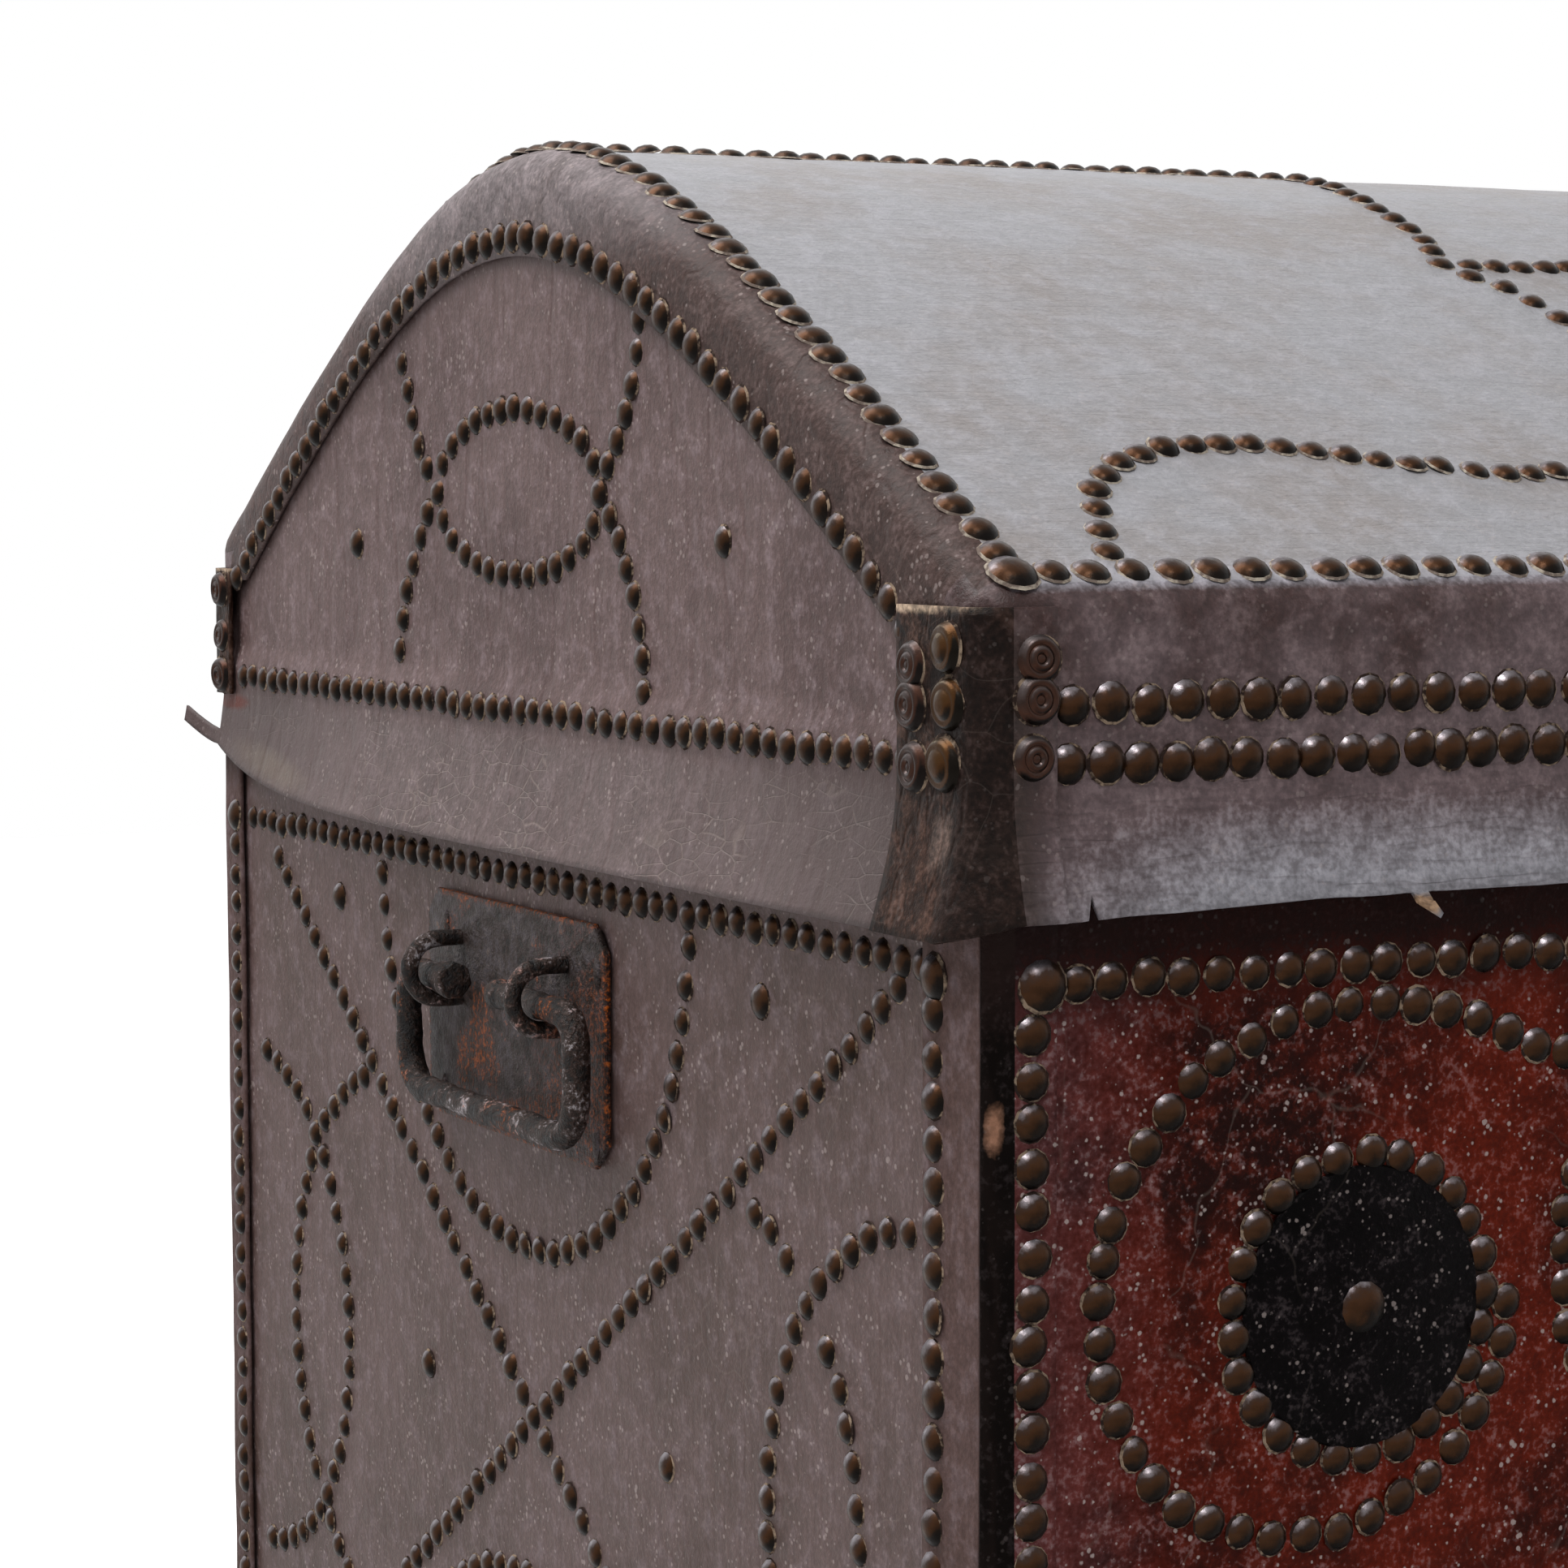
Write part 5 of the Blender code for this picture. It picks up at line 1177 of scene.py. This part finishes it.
class TRUNK_OT_gable_hides(bpy.types.Operator):
    """Makes the leather of each gable, which hangs on as a skirt past the joint"""

    bl_idname = "trunk.gable_hides"
    bl_label = "Gables and end skirts"

    def execute(self, context):
        for name, side in SIDES.items():
            columns = []
            for y in steps(-CORNER_Y, CORNER_Y, 111):
                top = max(min(window_height(y) + 0.008, CROWN), COVER_LOW - 0.001)
                hem = end_hem(y)
                low = [hem + (GABLE_FINE - hem) * step / 24 for step in range(24)]
                heights = low + [GABLE_FINE + (top - GABLE_FINE) * step / 30 for step in range(31)]
                columns.append([(side * gable_out(z), y, z) for z in heights])
            bm, grid = sheet(columns)
            face_out(bm, (0, 0, 0.4))
            crumple(bm, context.scene.trunk_leather.ripple)
            if side < 0:
                self.tear(bm, grid[-1])
            solids = (f"{name}_gable_leather", f"{name}_skirt")
            piece = add_piece(f"{name}_gable_hide", bm, [finish("gable")], "lid", solids)
            for wear_and_painted_light in ("skirt", "painted_shade", "torn", "crust"):
                mark(piece, wear_and_painted_light, getattr(self, wear_and_painted_light))
            thicken(piece, context.scene.trunk_leather.hide)
        return {"FINISHED"}

    def skirt(self, p):
        """Share of the crazed wax that the hanging skirt has."""
        return (0.404 - p.z) / 0.012

    def painted_shade(self, p):
        """Share of painted shade: a shadow under the turned hide's edge, a dark line below the nail row and more
        towards the corners of the skirt.
        """
        seams = max(1 - (window_height(p.y) - p.z) / 0.006, 1 - abs(p.z - 0.4025) / 0.003)
        corners = (abs(p.y) - 0.10) / 0.13 if p.z < 0.404 else 0
        return 0.5 * max(seams, min(corners, 1))

    def torn(self, p):
        """Share of raw red leather above the torn strip, at the rear of the left end."""
        return 1.4 - 1.4 * math.hypot((p.y - 0.264) / 0.024, (p.z - 0.3975) / 0.0036) if p.x < 0 else 0

    def crust(self, p):
        """Share of the dry crust that slants down from the torn strip."""
        slant = 0.377 + 0.12 * (p.y - 0.215)
        return 1 - math.hypot((p.y - 0.215) / 0.055, (p.z - slant) / 0.008) if p.x < 0 else 0

    def tear(self, bm, last):
        """Draws the lowest few rows of the rear edge out to a curling strip."""
        low = [vert for vert in last if vert.co.z < last[0].co.z + TAIL_WIDTH]
        for step in range(1, 6):
            share = (step / 5) ** 2 - ((step - 1) / 5) ** 2
            slide = (-TAIL_CURL * share, TAIL_LENGTH / 5, TAIL_RISE * share)
            low = extrude_by(bm, open_edges(bm, lambda v: v in low), slide)


class TRUNK_OT_lid_corners(bpy.types.Operator):
    """Folds a leather round each corner of the lid"""

    bl_idname = "trunk.lid_corners"
    bl_label = "Lid corner leathers"

    def execute(self, context):
        for side_name, side in SIDES.items():
            for facing_name, facing in FACINGS.items():
                name = f"lid_{facing_name}_{side_name}_corner"
                bm = self.folded(side, facing)
                face_out(bm, (0, 0, 0.42))
                crumple(bm, CORNER_RIPPLE)
                for face in bm.faces:
                    face.material_index = int(abs(face.calc_center_median().x) < CORNER_X - 0.0015)
                leathers = [finish("corner"), finish("flap")]
                piece = add_piece(name + "_leather", bm, leathers, "lid", (name + "_piece",))
                for wear_and_painted_light in ("hem", "fold", "rubbed", "torn"):
                    mark(piece, wear_and_painted_light, getattr(self, wear_and_painted_light))
                mark(piece, "flap", flap_share)
                thicken(piece, context.scene.trunk_leather.hide)
        return {"FINISHED"}

    def hem(self, p):
        """Share of painted sheen low on the side that hangs in front."""
        return 0.25 * (0.396 - p.z) / 0.024

    def fold(self, p):
        """Share of painted shade in the bend round the corner, more below the eave."""
        bend = 1.2 - abs(abs(p.x) - 0.5395) / 0.016
        return bend * (0.25 + 0.75 * ease((0.448 - p.z) / 0.018)) if abs(p.y) > 0.272 else 0

    def rubbed(self, p):
        """Share of pale wear in a band that hands touch."""
        return 1 - abs(p.z - 0.388) / 0.010 if abs(p.y) > WALL_Y else 0

    def torn(self, p):
        """Share of raw leather along the cut top, in patches."""
        return (p.z - CORNER_TOP + 0.0018) / 0.0012 * ease(4 * noise.noise(p * 60) + 0.2)

    def folded(self, side, facing):
        """The leather's outer face: from the end, round the corner and on along the front or the back."""
        front = facing < 0
        end_leg, long_leg = (CORNER_END_LEG, CORNER_FRONT_LEG) if front else (REAR_CORNER_LEG, REAR_CORNER_LEG)
        end_low, long_low = (end_hem(-CORNER_Y), front_hem(CORNER_X)) if front else (REAR_CORNER_HEM, REAR_CORNER_HEM)
        wall_x, wall_y = LID_HALF - COVER_THICKNESS, HALF_DEPTH - COVER_THICKNESS
        plan = [(wall_x, y, 0) for y in steps(HALF_DEPTH - end_leg, CORNER_Y, 14)[:-1]]
        for a in steps(0, math.pi / 2, 9):
            plan.append((CORNER_X + CORNER_RADIUS * math.cos(a), CORNER_Y + CORNER_RADIUS * math.sin(a), a))
        plan += [(x, wall_y, math.pi / 2) for x in steps(CORNER_X, LID_HALF - long_leg, 10)[1:]]
        columns = []
        for x, y, a in plan:
            hem = end_low + (long_low - end_low) * a / (math.pi / 2)
            column = []
            for z in steps(CORNER_TOP, hem, 32):
                out = hang(z) + CORNER_LIFT
                column.append((side * (x + out * math.cos(a)), facing * (y + out * math.sin(a)), z))
            columns.append(column)
        return sheet(columns)[0]


class TRUNK_OT_base_panels(bpy.types.Operator):
    """Makes the leathers on the four sides of the base"""

    bl_idname = "trunk.base_panels"
    bl_label = "Base leathers"

    def execute(self, context):
        panels = [("front", 1, -1, PANEL_X), ("back", 1, 1, PANEL_X)]
        panels += [(f"{name}_end", 0, side, PANEL_Y) for name, side in SIDES.items()]
        for name, axis, sign, reach in panels:
            rows = []
            edge = reach - 0.0025
            for z in steps(PANEL_LOW, PANEL_HIGH, 76):
                along = steps(-edge, edge, 216 if axis else 110)
                rows.append([(a, sign * PANEL_Y, z) if axis else (sign * PANEL_X, a, z) for a in along])
            bm, _ = sheet(rows)
            face_out(bm, (0, 0, 0.2))
            crumple(bm, context.scene.trunk_leather.ripple)
            look = {"front": "front", "back": "back"}.get(name, "end")
            piece = add_piece(f"{name}_hide", bm, [finish(look)], "base", (f"{name}_leather",))
            mark(piece, "bloom", lambda p: front_bloom(p) if name == "front" else 0)
            mark(piece, "painted_shade", base_shadow)
            thicken(piece, context.scene.trunk_leather.panel)
        return {"FINISHED"}


class TRUNK_OT_base_corners(bpy.types.Operator):
    """Folds a leather strip round each upright corner of the base"""

    bl_idname = "trunk.base_corners"
    bl_label = "Base corner strips"

    def execute(self, context):
        for side_name, side in SIDES.items():
            for facing_name, facing in FACINGS.items():
                bm, _ = sheet(self.folded(side, facing))
                face_out(bm, (0, 0, 0.2))
                crumple(bm, CORNER_RIPPLE)
                for face in bm.faces:
                    face.material_index = int(abs(face.calc_center_median().x) < 0.5320)
                leathers = [finish("strip"), finish("front" if facing < 0 else "back")]
                name = f"{facing_name}_{side_name}_corner"
                piece = add_piece(name + "_leather", bm, leathers, "base", (name + "_strip",))
                mark(piece, "bloom", lambda p: front_bloom(p) if p.y < 0 else 0)
                mark(piece, "painted_shade", base_shadow)
                mark(piece, "edge", self.edge)
                mark(piece, "torn", self.torn)
                thicken(piece, context.scene.trunk_leather.panel)
        return {"FINISHED"}

    def folded(self, side, facing):
        """The strip's outer face: from the end, round the corner and on along the front or the back."""
        end_leg, long_leg = (STRIP_END_LEG, STRIP_FRONT_LEG) if facing < 0 else (STRIP_REAR_LEG, STRIP_REAR_LEG)
        x, y = HALF_LENGTH - STRIP_RADIUS, HALF_DEPTH - STRIP_RADIUS
        plan = [(HALF_LENGTH, along) for along in steps(HALF_DEPTH - end_leg, y, 10)[:-1]]
        turns = steps(0, math.pi / 2, 8)
        plan += [(x + STRIP_RADIUS * math.cos(a), y + STRIP_RADIUS * math.sin(a)) for a in turns]
        plan += [(along, HALF_DEPTH) for along in steps(x, HALF_LENGTH - long_leg, 8)[1:]]
        return [[(side * x, facing * y, z) for x, y in plan] for z in steps(STRIP_LOW, STRIP_HIGH, 120)]

    def edge(self, p):
        """Share of black wax on the part of a front strip that faces forwards."""
        return min((abs(p.x) - 0.5260) / 0.005, (-0.2765 - p.y) / 0.001)

    def torn(self, p):
        """Share of raw leather where the front left strip is chipped."""
        return 1 - math.hypot((p.x + 0.537) / 0.003, (p.z - 0.318) / 0.009) if p.y < -0.278 else 0


class TRUNK_OT_discs(bpy.types.Operator):
    """Lays the dark leather discs on the front of the base"""

    bl_idname = "trunk.discs"
    bl_label = "Front discs"

    def execute(self, context):
        radius = context.scene.trunk_leather.disc_radius
        bm = bmesh.new()
        for x, z in disc_middles():
            turn = Matrix.Translation((x, -PANEL_Y - 0.0006, z)) @ Matrix.Rotation(math.pi / 2, 4, "X")
            size = {"radius1": radius, "radius2": radius - 0.0006, "depth": 0.0012}
            made = bmesh.ops.create_cone(bm, cap_ends=True, cap_tris=False, segments=48, **size, matrix=turn)
            rim = [e for e in {e for v in made["verts"] for e in v.link_edges} if len(e.link_faces) == 2]
            break_edges(bm, rim, 0.0002, 1)
        bmesh.ops.recalc_face_normals(bm, faces=bm.faces)
        add_piece("front_discs", bm, [finish("disc")], "base")
        return {"FINISHED"}


class TRUNK_OT_handles(bpy.types.Operator):
    """Forges the carrying handles: back plates, staples and bails"""

    bl_idname = "trunk.handles"
    bl_label = "Carrying handles"

    def execute(self, context):
        for name, side in SIDES.items():
            self.bail(name, side)
            self.plate(name, side)
            for place_name, place in FACINGS.items():
                self.staple(name, side, place_name, HANDLE_Y + place * STAPLE_SPREAD)
        return {"FINISHED"}

    def bail(self, name, side):
        """A round bar bent to a flat loop, its two ends hammered up to heads."""
        half = BAIL_HALF_WIDTH
        flat = [(0.027, 0), (half, 0), (half, -BAIL_DROP), (-half, -BAIL_DROP), (-half, 0), (-0.006, 0)]
        corners = [Vector((side * BAIL_X, HANDLE_Y + y, BAIL_Z + z)) for y, z in flat]
        bent = bend_path(corners, (0.010, 0.014, 0.014, 0.010), 10)
        path = [Vector((side * BAIL_X, p.x, p.y)) for p in spaced([(p.y, p.z) for p in bent], 0.002)]
        radii = []
        for index, point in enumerate(path):
            from_end = min(index, len(path) - 1 - index)
            swell = 0 if index < len(path) / 2 else 0.0006 * ease(4 - from_end)
            worn = 0.00025 * noise.noise(point * 90) + 0.0002 * noise.noise(point * 230)
            radii.append(BAIL_ROD / 2 + worn + swell)
        radii[0] -= 0.0012
        radii[-1] -= 0.0008
        bm = sweep(path, radii, 20)
        for vert in bm.verts:
            near = max(1 - abs(vert.co.y - HANDLE_Y - BAIL_HEAD_Y + 0.001) / 0.006, 0)
            vert.co += vert.normal * (0.0004 * noise.noise(vert.co * 260) + 0.0009 * near * noise.noise(vert.co * 150))
        turn = Matrix.Translation((side * BAIL_X, HANDLE_Y + BAIL_HEAD_Y, BAIL_Z))
        turn = turn @ Matrix.Rotation(math.pi / 2, 4, "X")
        head = bmesh.ops.create_cone(
            bm, cap_ends=True, cap_tris=False, segments=7, radius1=0.0054, radius2=0.0064, depth=0.0115, matrix=turn
        )["verts"]
        rim = list({e for v in head for e in v.link_edges})
        break_edges(bm, rim, 0.0010, 2)
        bmesh.ops.recalc_face_normals(bm, faces=bm.faces)
        add_piece(f"{name}_bail", bm, [finish("iron")], f"{name}_handle", (f"{name}_handle_bail",), 60)

    def plate(self, name, side):
        """The back plate with its cut corners and filed edge."""
        low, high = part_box(f"{name}_handle_plate")
        centre = (low + high) / 2
        size = high - low
        bm = bmesh.new()
        bmesh.ops.create_cube(bm, size=1, matrix=Matrix.Translation(centre) @ Matrix.Diagonal((*size, 1)))
        uprights = [e for e in bm.edges if abs((e.verts[0].co - e.verts[1].co).x) > 1e-4]
        break_edges(bm, uprights, 0.008, 1)
        rim = [e for e in bm.edges if abs((e.verts[0].co - e.verts[1].co).x) < 1e-6]
        break_edges(bm, rim, 0.0009, 2)
        bmesh.ops.subdivide_edges(bm, edges=bm.edges, cuts=12, use_grid_fill=True)
        for y, z in PLATE_RIVETS:
            turn = Matrix.Translation((side * (abs(centre.x) + size.x / 2), HANDLE_Y + y, centre.z + z))
            grow = Matrix.Diagonal((0.0010, 0.0024, 0.0052, 1))
            bmesh.ops.create_icosphere(bm, subdivisions=2, radius=1, matrix=turn @ grow)
        bmesh.ops.recalc_face_normals(bm, faces=bm.faces)
        piece = add_piece(f"{name}_plate", bm, [finish("plate iron")], "base", (f"{name}_handle_plate",))
        half_y, half_z = size.y / 2, size.z / 2
        mark(piece, "rust", lambda p: self.rusted(p.y - HANDLE_Y, p.z - centre.z, half_y, half_z))

    def rusted(self, y, z, half_y, half_z):
        """Share of rust on a plate: along its rim, where the staples enter, and under the bail's lowest run."""
        rim = 1 - min(half_y - abs(y), half_z - abs(z)) / 0.003
        holes = max(1 - math.hypot(y - place * STAPLE_SPREAD, z - 0.023) / 0.011 for place in (-1, 1))
        under = 1.6 - 1.6 * math.hypot((y - 0.002) / 0.034, (z + 0.020) / 0.007)
        stained = 0.8 - 0.8 * math.hypot((y + 0.006) / 0.036, (z + 0.010) / 0.028)
        beside = 0.8 - 0.8 * math.hypot((y + 0.028) / 0.012, (z - 0.008) / 0.03)
        return max(0.7 * rim, 0.9 * holes, 1.3 * under, stained, beside)

    def staple(self, name, side, place_name, y):
        """A staple: a rod out through the plate, round its eye and back."""
        turns = steps(math.pi / 2, -math.pi / 2, 13)
        eye = [(BAIL_X + STAPLE_RADIUS * math.cos(a), STAPLE_Z + STAPLE_RADIUS * math.sin(a)) for a in turns]
        line = [(STAPLE_INNER_X, STAPLE_Z + STAPLE_RADIUS), *eye, (STAPLE_INNER_X, STAPLE_Z - STAPLE_RADIUS)]
        path = [Vector((side * p.x, y, p.y)) for p in spaced(line, 0.0015)]
        radii = [STAPLE_ROD / 2 + 0.0003 * noise.noise(point * 140) for point in path]
        bm = sweep(path, radii, 14)
        node = f"{name}_{place_name}_handle_staple"
        add_piece(f"{name}_{place_name}_staple", bm, [finish("iron")], "base", (node,), 60)


class TRUNK_OT_nails(bpy.types.Operator):
    """Drives every brass-headed nail"""

    bl_idname = "trunk.nails"
    bl_label = "Brass-headed nails"

    def execute(self, context):
        settings = context.scene.trunk_nails
        nail = [(r, z * settings.height) for r, z in ((0, 1), (0.50, 0.86), (0.84, 0.50), (1, 0.14))]
        rosette = [(0, 0.34), (0.10, 0.36), (0.20, 0.30), (0.28, 0.40), (0.40, 0.43), (0.50, 0.34), (0.58, 0.30)]
        rosette += [(0.68, 0.38), (0.80, 0.36), (0.92, 0.24), (1, 0.05)]
        boss = [(0, 0.50), (0.22, 0.50), (0.42, 0.46), (0.56, 0.36), (0.64, 0.32)]
        boss += [(0.74, 0.36), (0.86, 0.30), (0.96, 0.18), (1, 0.03)]
        groups = [
            ("lid_nails", lid_top_places(), "lid", nail, "brass", "pale dust"),
            ("eave_nails", eave_places(), "lid", nail, "brass", "dark wax and shade"),
            ("rosettes", rosette_places(False), "lid", rosette, "grey brass", "dark wax and shade"),
            ("corner_bosses", rosette_places(True), "lid", boss, "bright brass", "dark wax and shade"),
            ("front_nails", front_places(-1), "base", nail, "brass", "dark wax and shade"),
            ("back_nails", front_places(1), "base", nail, "brass", "dark wax and shade"),
        ]
        for name, side in SIDES.items():
            groups.append((f"{name}_end_nails", end_places(side), "base", nail, "brass", "dark wax and shade"))
            groups.append((f"{name}_gable_nails", gable_places(side), "lid", nail, "brass", "dark wax and shade"))
        for name, places, body, profile, brass, wax in groups:
            head = self.head(profile, 0.13, 12 if profile is nail else 28)
            self.drive(name, head, places, body, (finish(brass), finish(wax)), settings)
        return {"FINISHED"}

    def head(self, profile, reach, count):
        """A nail's head of radius 1 in a low collar of wax, dust and painted contact shade, spun from its profile: 49
        faces for a plain head.
        """
        bm = bmesh.new()
        points = [bm.verts.new((r, 0, z)) for r, z in [*profile, (1 + reach, -0.04)]]
        edges = [bm.edges.new(pair) for pair in zip(points, points[1:])]
        spun = {"cent": (0, 0, 0), "axis": (0, 0, 1), "angle": math.tau, "steps": count, "use_merge": True}
        bmesh.ops.spin(bm, geom=points + edges, **spun)
        bmesh.ops.remove_doubles(bm, verts=bm.verts, dist=1e-4)
        bmesh.ops.holes_fill(bm, edges=[edge for edge in bm.edges if edge.is_boundary], sides=count)
        bmesh.ops.recalc_face_normals(bm, faces=bm.faces)
        for face in bm.faces:
            centre = face.calc_center_median()
            face.material_index = int(centre.z < 0.06 and math.hypot(centre.x, centre.y) > 0.99)
        mesh = bpy.data.meshes.new("nail_head")
        bm.to_mesh(mesh)
        bm.free()
        return mesh

    def shade(self, normal, out):
        """Place of a point of a head on the brass's colour ramp: low for the painted highlight on the side that faces
        the light, high for the painted shade under the rim.
        """
        rim = max(1 - normal.dot(out), 0)
        return 0.45 - 0.5 * (normal.dot(PAINTED_LIGHT_FROM) - 0.65 * out.dot(PAINTED_LIGHT_FROM)) + 0.60 * rim * rim

    def drive(self, name, head, places, body, materials, settings):
        """One object that holds all of a group's nails, each a little different."""
        chance = random.Random(settings.seed + len(places))
        bm = bmesh.new()
        for point, out, width in places:
            turn = out.to_track_quat("Z", "Y").to_matrix().to_4x4()
            lean = Vector((chance.gauss(0, 1), chance.gauss(0, 1), 0)).normalized()
            tilt = Matrix.Rotation(math.radians(chance.gauss(0, 4)), 4, lean)
            tilt = tilt @ Matrix.Rotation(chance.uniform(0, 6), 4, "Z")
            size = width / 2 * chance.uniform(0.93, 1.06)
            slip = turn @ Vector((chance.gauss(0, 0.0003), chance.gauss(0, 0.0003), 0))
            copy = head.copy()
            grow = Matrix.Diagonal((size, size, size * chance.uniform(0.88, 1.1), 1))
            copy.transform(Matrix.Translation(point + slip - out * 0.0003) @ turn @ tilt @ grow)
            bm.from_mesh(copy)
            bpy.data.meshes.remove(copy)
        bpy.data.meshes.remove(head)
        bm.normal_update()
        # Each vertex's painted light for the brass ramp: a painted highlight towards the light and painted shade under
        # the rim
        count = len(bm.verts) // len(places)
        under = [self.shade(vert.normal, places[index // count][1]) for index, vert in enumerate(bm.verts)]
        piece = add_piece(name, bm, materials, body, smooth=60)
        layer = piece.data.attributes.new("under", "FLOAT", "POINT")
        layer.data.foreach_set("value", under)


class TRUNK_OT_studio(bpy.types.Operator):
    """Sets the floor, the light and the camera"""

    bl_idname = "trunk.studio"
    bl_label = "Studio"

    def execute(self, context):
        settings = context.scene.trunk_studio
        scene = context.scene
        scene.view_settings.view_transform = "Standard"
        self.floor()
        world = bpy.data.worlds.new("Studio")
        scene.world = world
        world.use_nodes = True
        tree = world.node_tree
        light = tree.nodes["Background"]
        set_inputs(tree, light, {"Color": (1, 1, 1, 1), "Strength": settings.world})
        white = add_node(tree, "Background", {"Color": (1, 1, 1, 1), "Strength": 1})
        seen = add_node(tree, "LightPath", give="Is Camera Ray")
        for kind in ("Is Glossy Ray", "Is Transmission Ray"):
            seen = add_node(tree, "Math", {0: seen, 1: add_node(tree, "LightPath", give=kind)}, operation="MAXIMUM")
        mixed = add_node(tree, "MixShader", {0: seen, 1: light.outputs[0], 2: white})
        tree.links.new(mixed, tree.nodes["World Output"].inputs["Surface"])
        self.lamp("Key lamp", settings.key, 1.6, (-1.3, 0.5, 2.3), (-0.3, 0, 0.4))
        self.lamp("Fill lamp", settings.fill, 0.6, (-0.9, -1.3, 2.1), (-0.3, -0.28, 0.35))
        self.camera(scene)
        return {"FINISHED"}

    def floor(self):
        """A wide pale floor that keeps the trunk's shadow."""
        made, tree, shader = new_material("White paper floor")
        seen = add_node(tree, "LightPath", give="Is Camera Ray")
        glow = add_node(tree, "Math", {0: seen, 1: 0.7}, operation="MULTIPLY")
        paper = {"Base Color": (0.9, 0.9, 0.9, 1), "Roughness": 0.9}
        set_inputs(tree, shader, {**paper, "Emission Color": (1, 1, 1, 1), "Emission Strength": glow})
        bm = bmesh.new()
        bmesh.ops.create_grid(bm, x_segments=1, y_segments=1, size=4)
        mesh = bpy.data.meshes.new("floor")
        bm.to_mesh(mesh)
        bm.free()
        mesh.materials.append(made)
        floor = bpy.data.objects.new("floor", mesh)
        bpy.context.scene.collection.objects.link(floor)

    def lamp(self, name, power, size, place, aim):
        """A large soft lamp that looks at a point."""
        data = bpy.data.lights.new(name, "AREA")
        data.energy = power
        data.size = size
        lamp = bpy.data.objects.new(name, data)
        bpy.context.scene.collection.objects.link(lamp)
        lamp.location = place
        lamp.rotation_euler = (Vector(aim) - Vector(place)).to_track_quat("-Z", "Y").to_euler()

    def camera(self, scene):
        """The photograph's viewpoint: from the left of the front, a little above the lid's joint."""
        data = bpy.data.cameras.new("Camera")
        data.lens = CAMERA_LENS
        data.sensor_width = 36
        camera = bpy.data.objects.new("Camera", data)
        scene.collection.objects.link(camera)
        camera.location = CAMERA_PLACE
        pan, tilt, roll = (math.radians(angle) for angle in CAMERA_TURNS)
        ahead = Vector((math.sin(pan) * math.cos(tilt), math.cos(pan) * math.cos(tilt), -math.sin(tilt)))
        turn = ahead.to_track_quat("-Z", "Y").to_matrix() @ Matrix.Rotation(-roll, 3, "Z")
        camera.rotation_euler = turn.to_euler()
        scene.camera = camera


PIECES = (
    TRUNK_OT_timber, TRUNK_OT_ironwork, TRUNK_OT_lid_hide, TRUNK_OT_gable_hides, TRUNK_OT_lid_corners,
    TRUNK_OT_base_panels, TRUNK_OT_base_corners, TRUNK_OT_discs, TRUNK_OT_handles, TRUNK_OT_nails, TRUNK_OT_studio,
)


class TRUNK_PT_panel(bpy.types.Panel):
    """Lists the trunk's settings and pieces"""

    bl_idname = "TRUNK_PT_panel"
    bl_label = "Travelling trunk"
    bl_space_type = "VIEW_3D"
    bl_region_type = "UI"
    bl_category = "Trunk"

    def draw(self, context):
        layout = self.layout
        for group in GROUPS:
            settings = getattr(context.scene, group)
            for name in settings.__annotations__:
                layout.prop(settings, name)
        for piece in PIECES:
            layout.operator(piece.bl_idname)


GROUPS = {
    "trunk_colours": TrunkColours,
    "trunk_leather": TrunkLeather,
    "trunk_nails": TrunkNails,
    "trunk_studio": TrunkStudio,
}


def register():
    for made in (*GROUPS.values(), *PIECES, TRUNK_PT_panel):
        bpy.utils.register_class(made)
    for name, group in GROUPS.items():
        setattr(bpy.types.Scene, name, bpy.props.PointerProperty(type=group))


def unregister():
    for name in GROUPS:
        delattr(bpy.types.Scene, name)
    for made in reversed((*GROUPS.values(), *PIECES, TRUNK_PT_panel)):
        bpy.utils.unregister_class(made)


def main():
    """Dresses the frame piece by piece."""
    register()
    for piece in PIECES:
        group, name = piece.bl_idname.split(".")
        getattr(getattr(bpy.ops, group), name)()


if __name__ == "__main__":
    main()
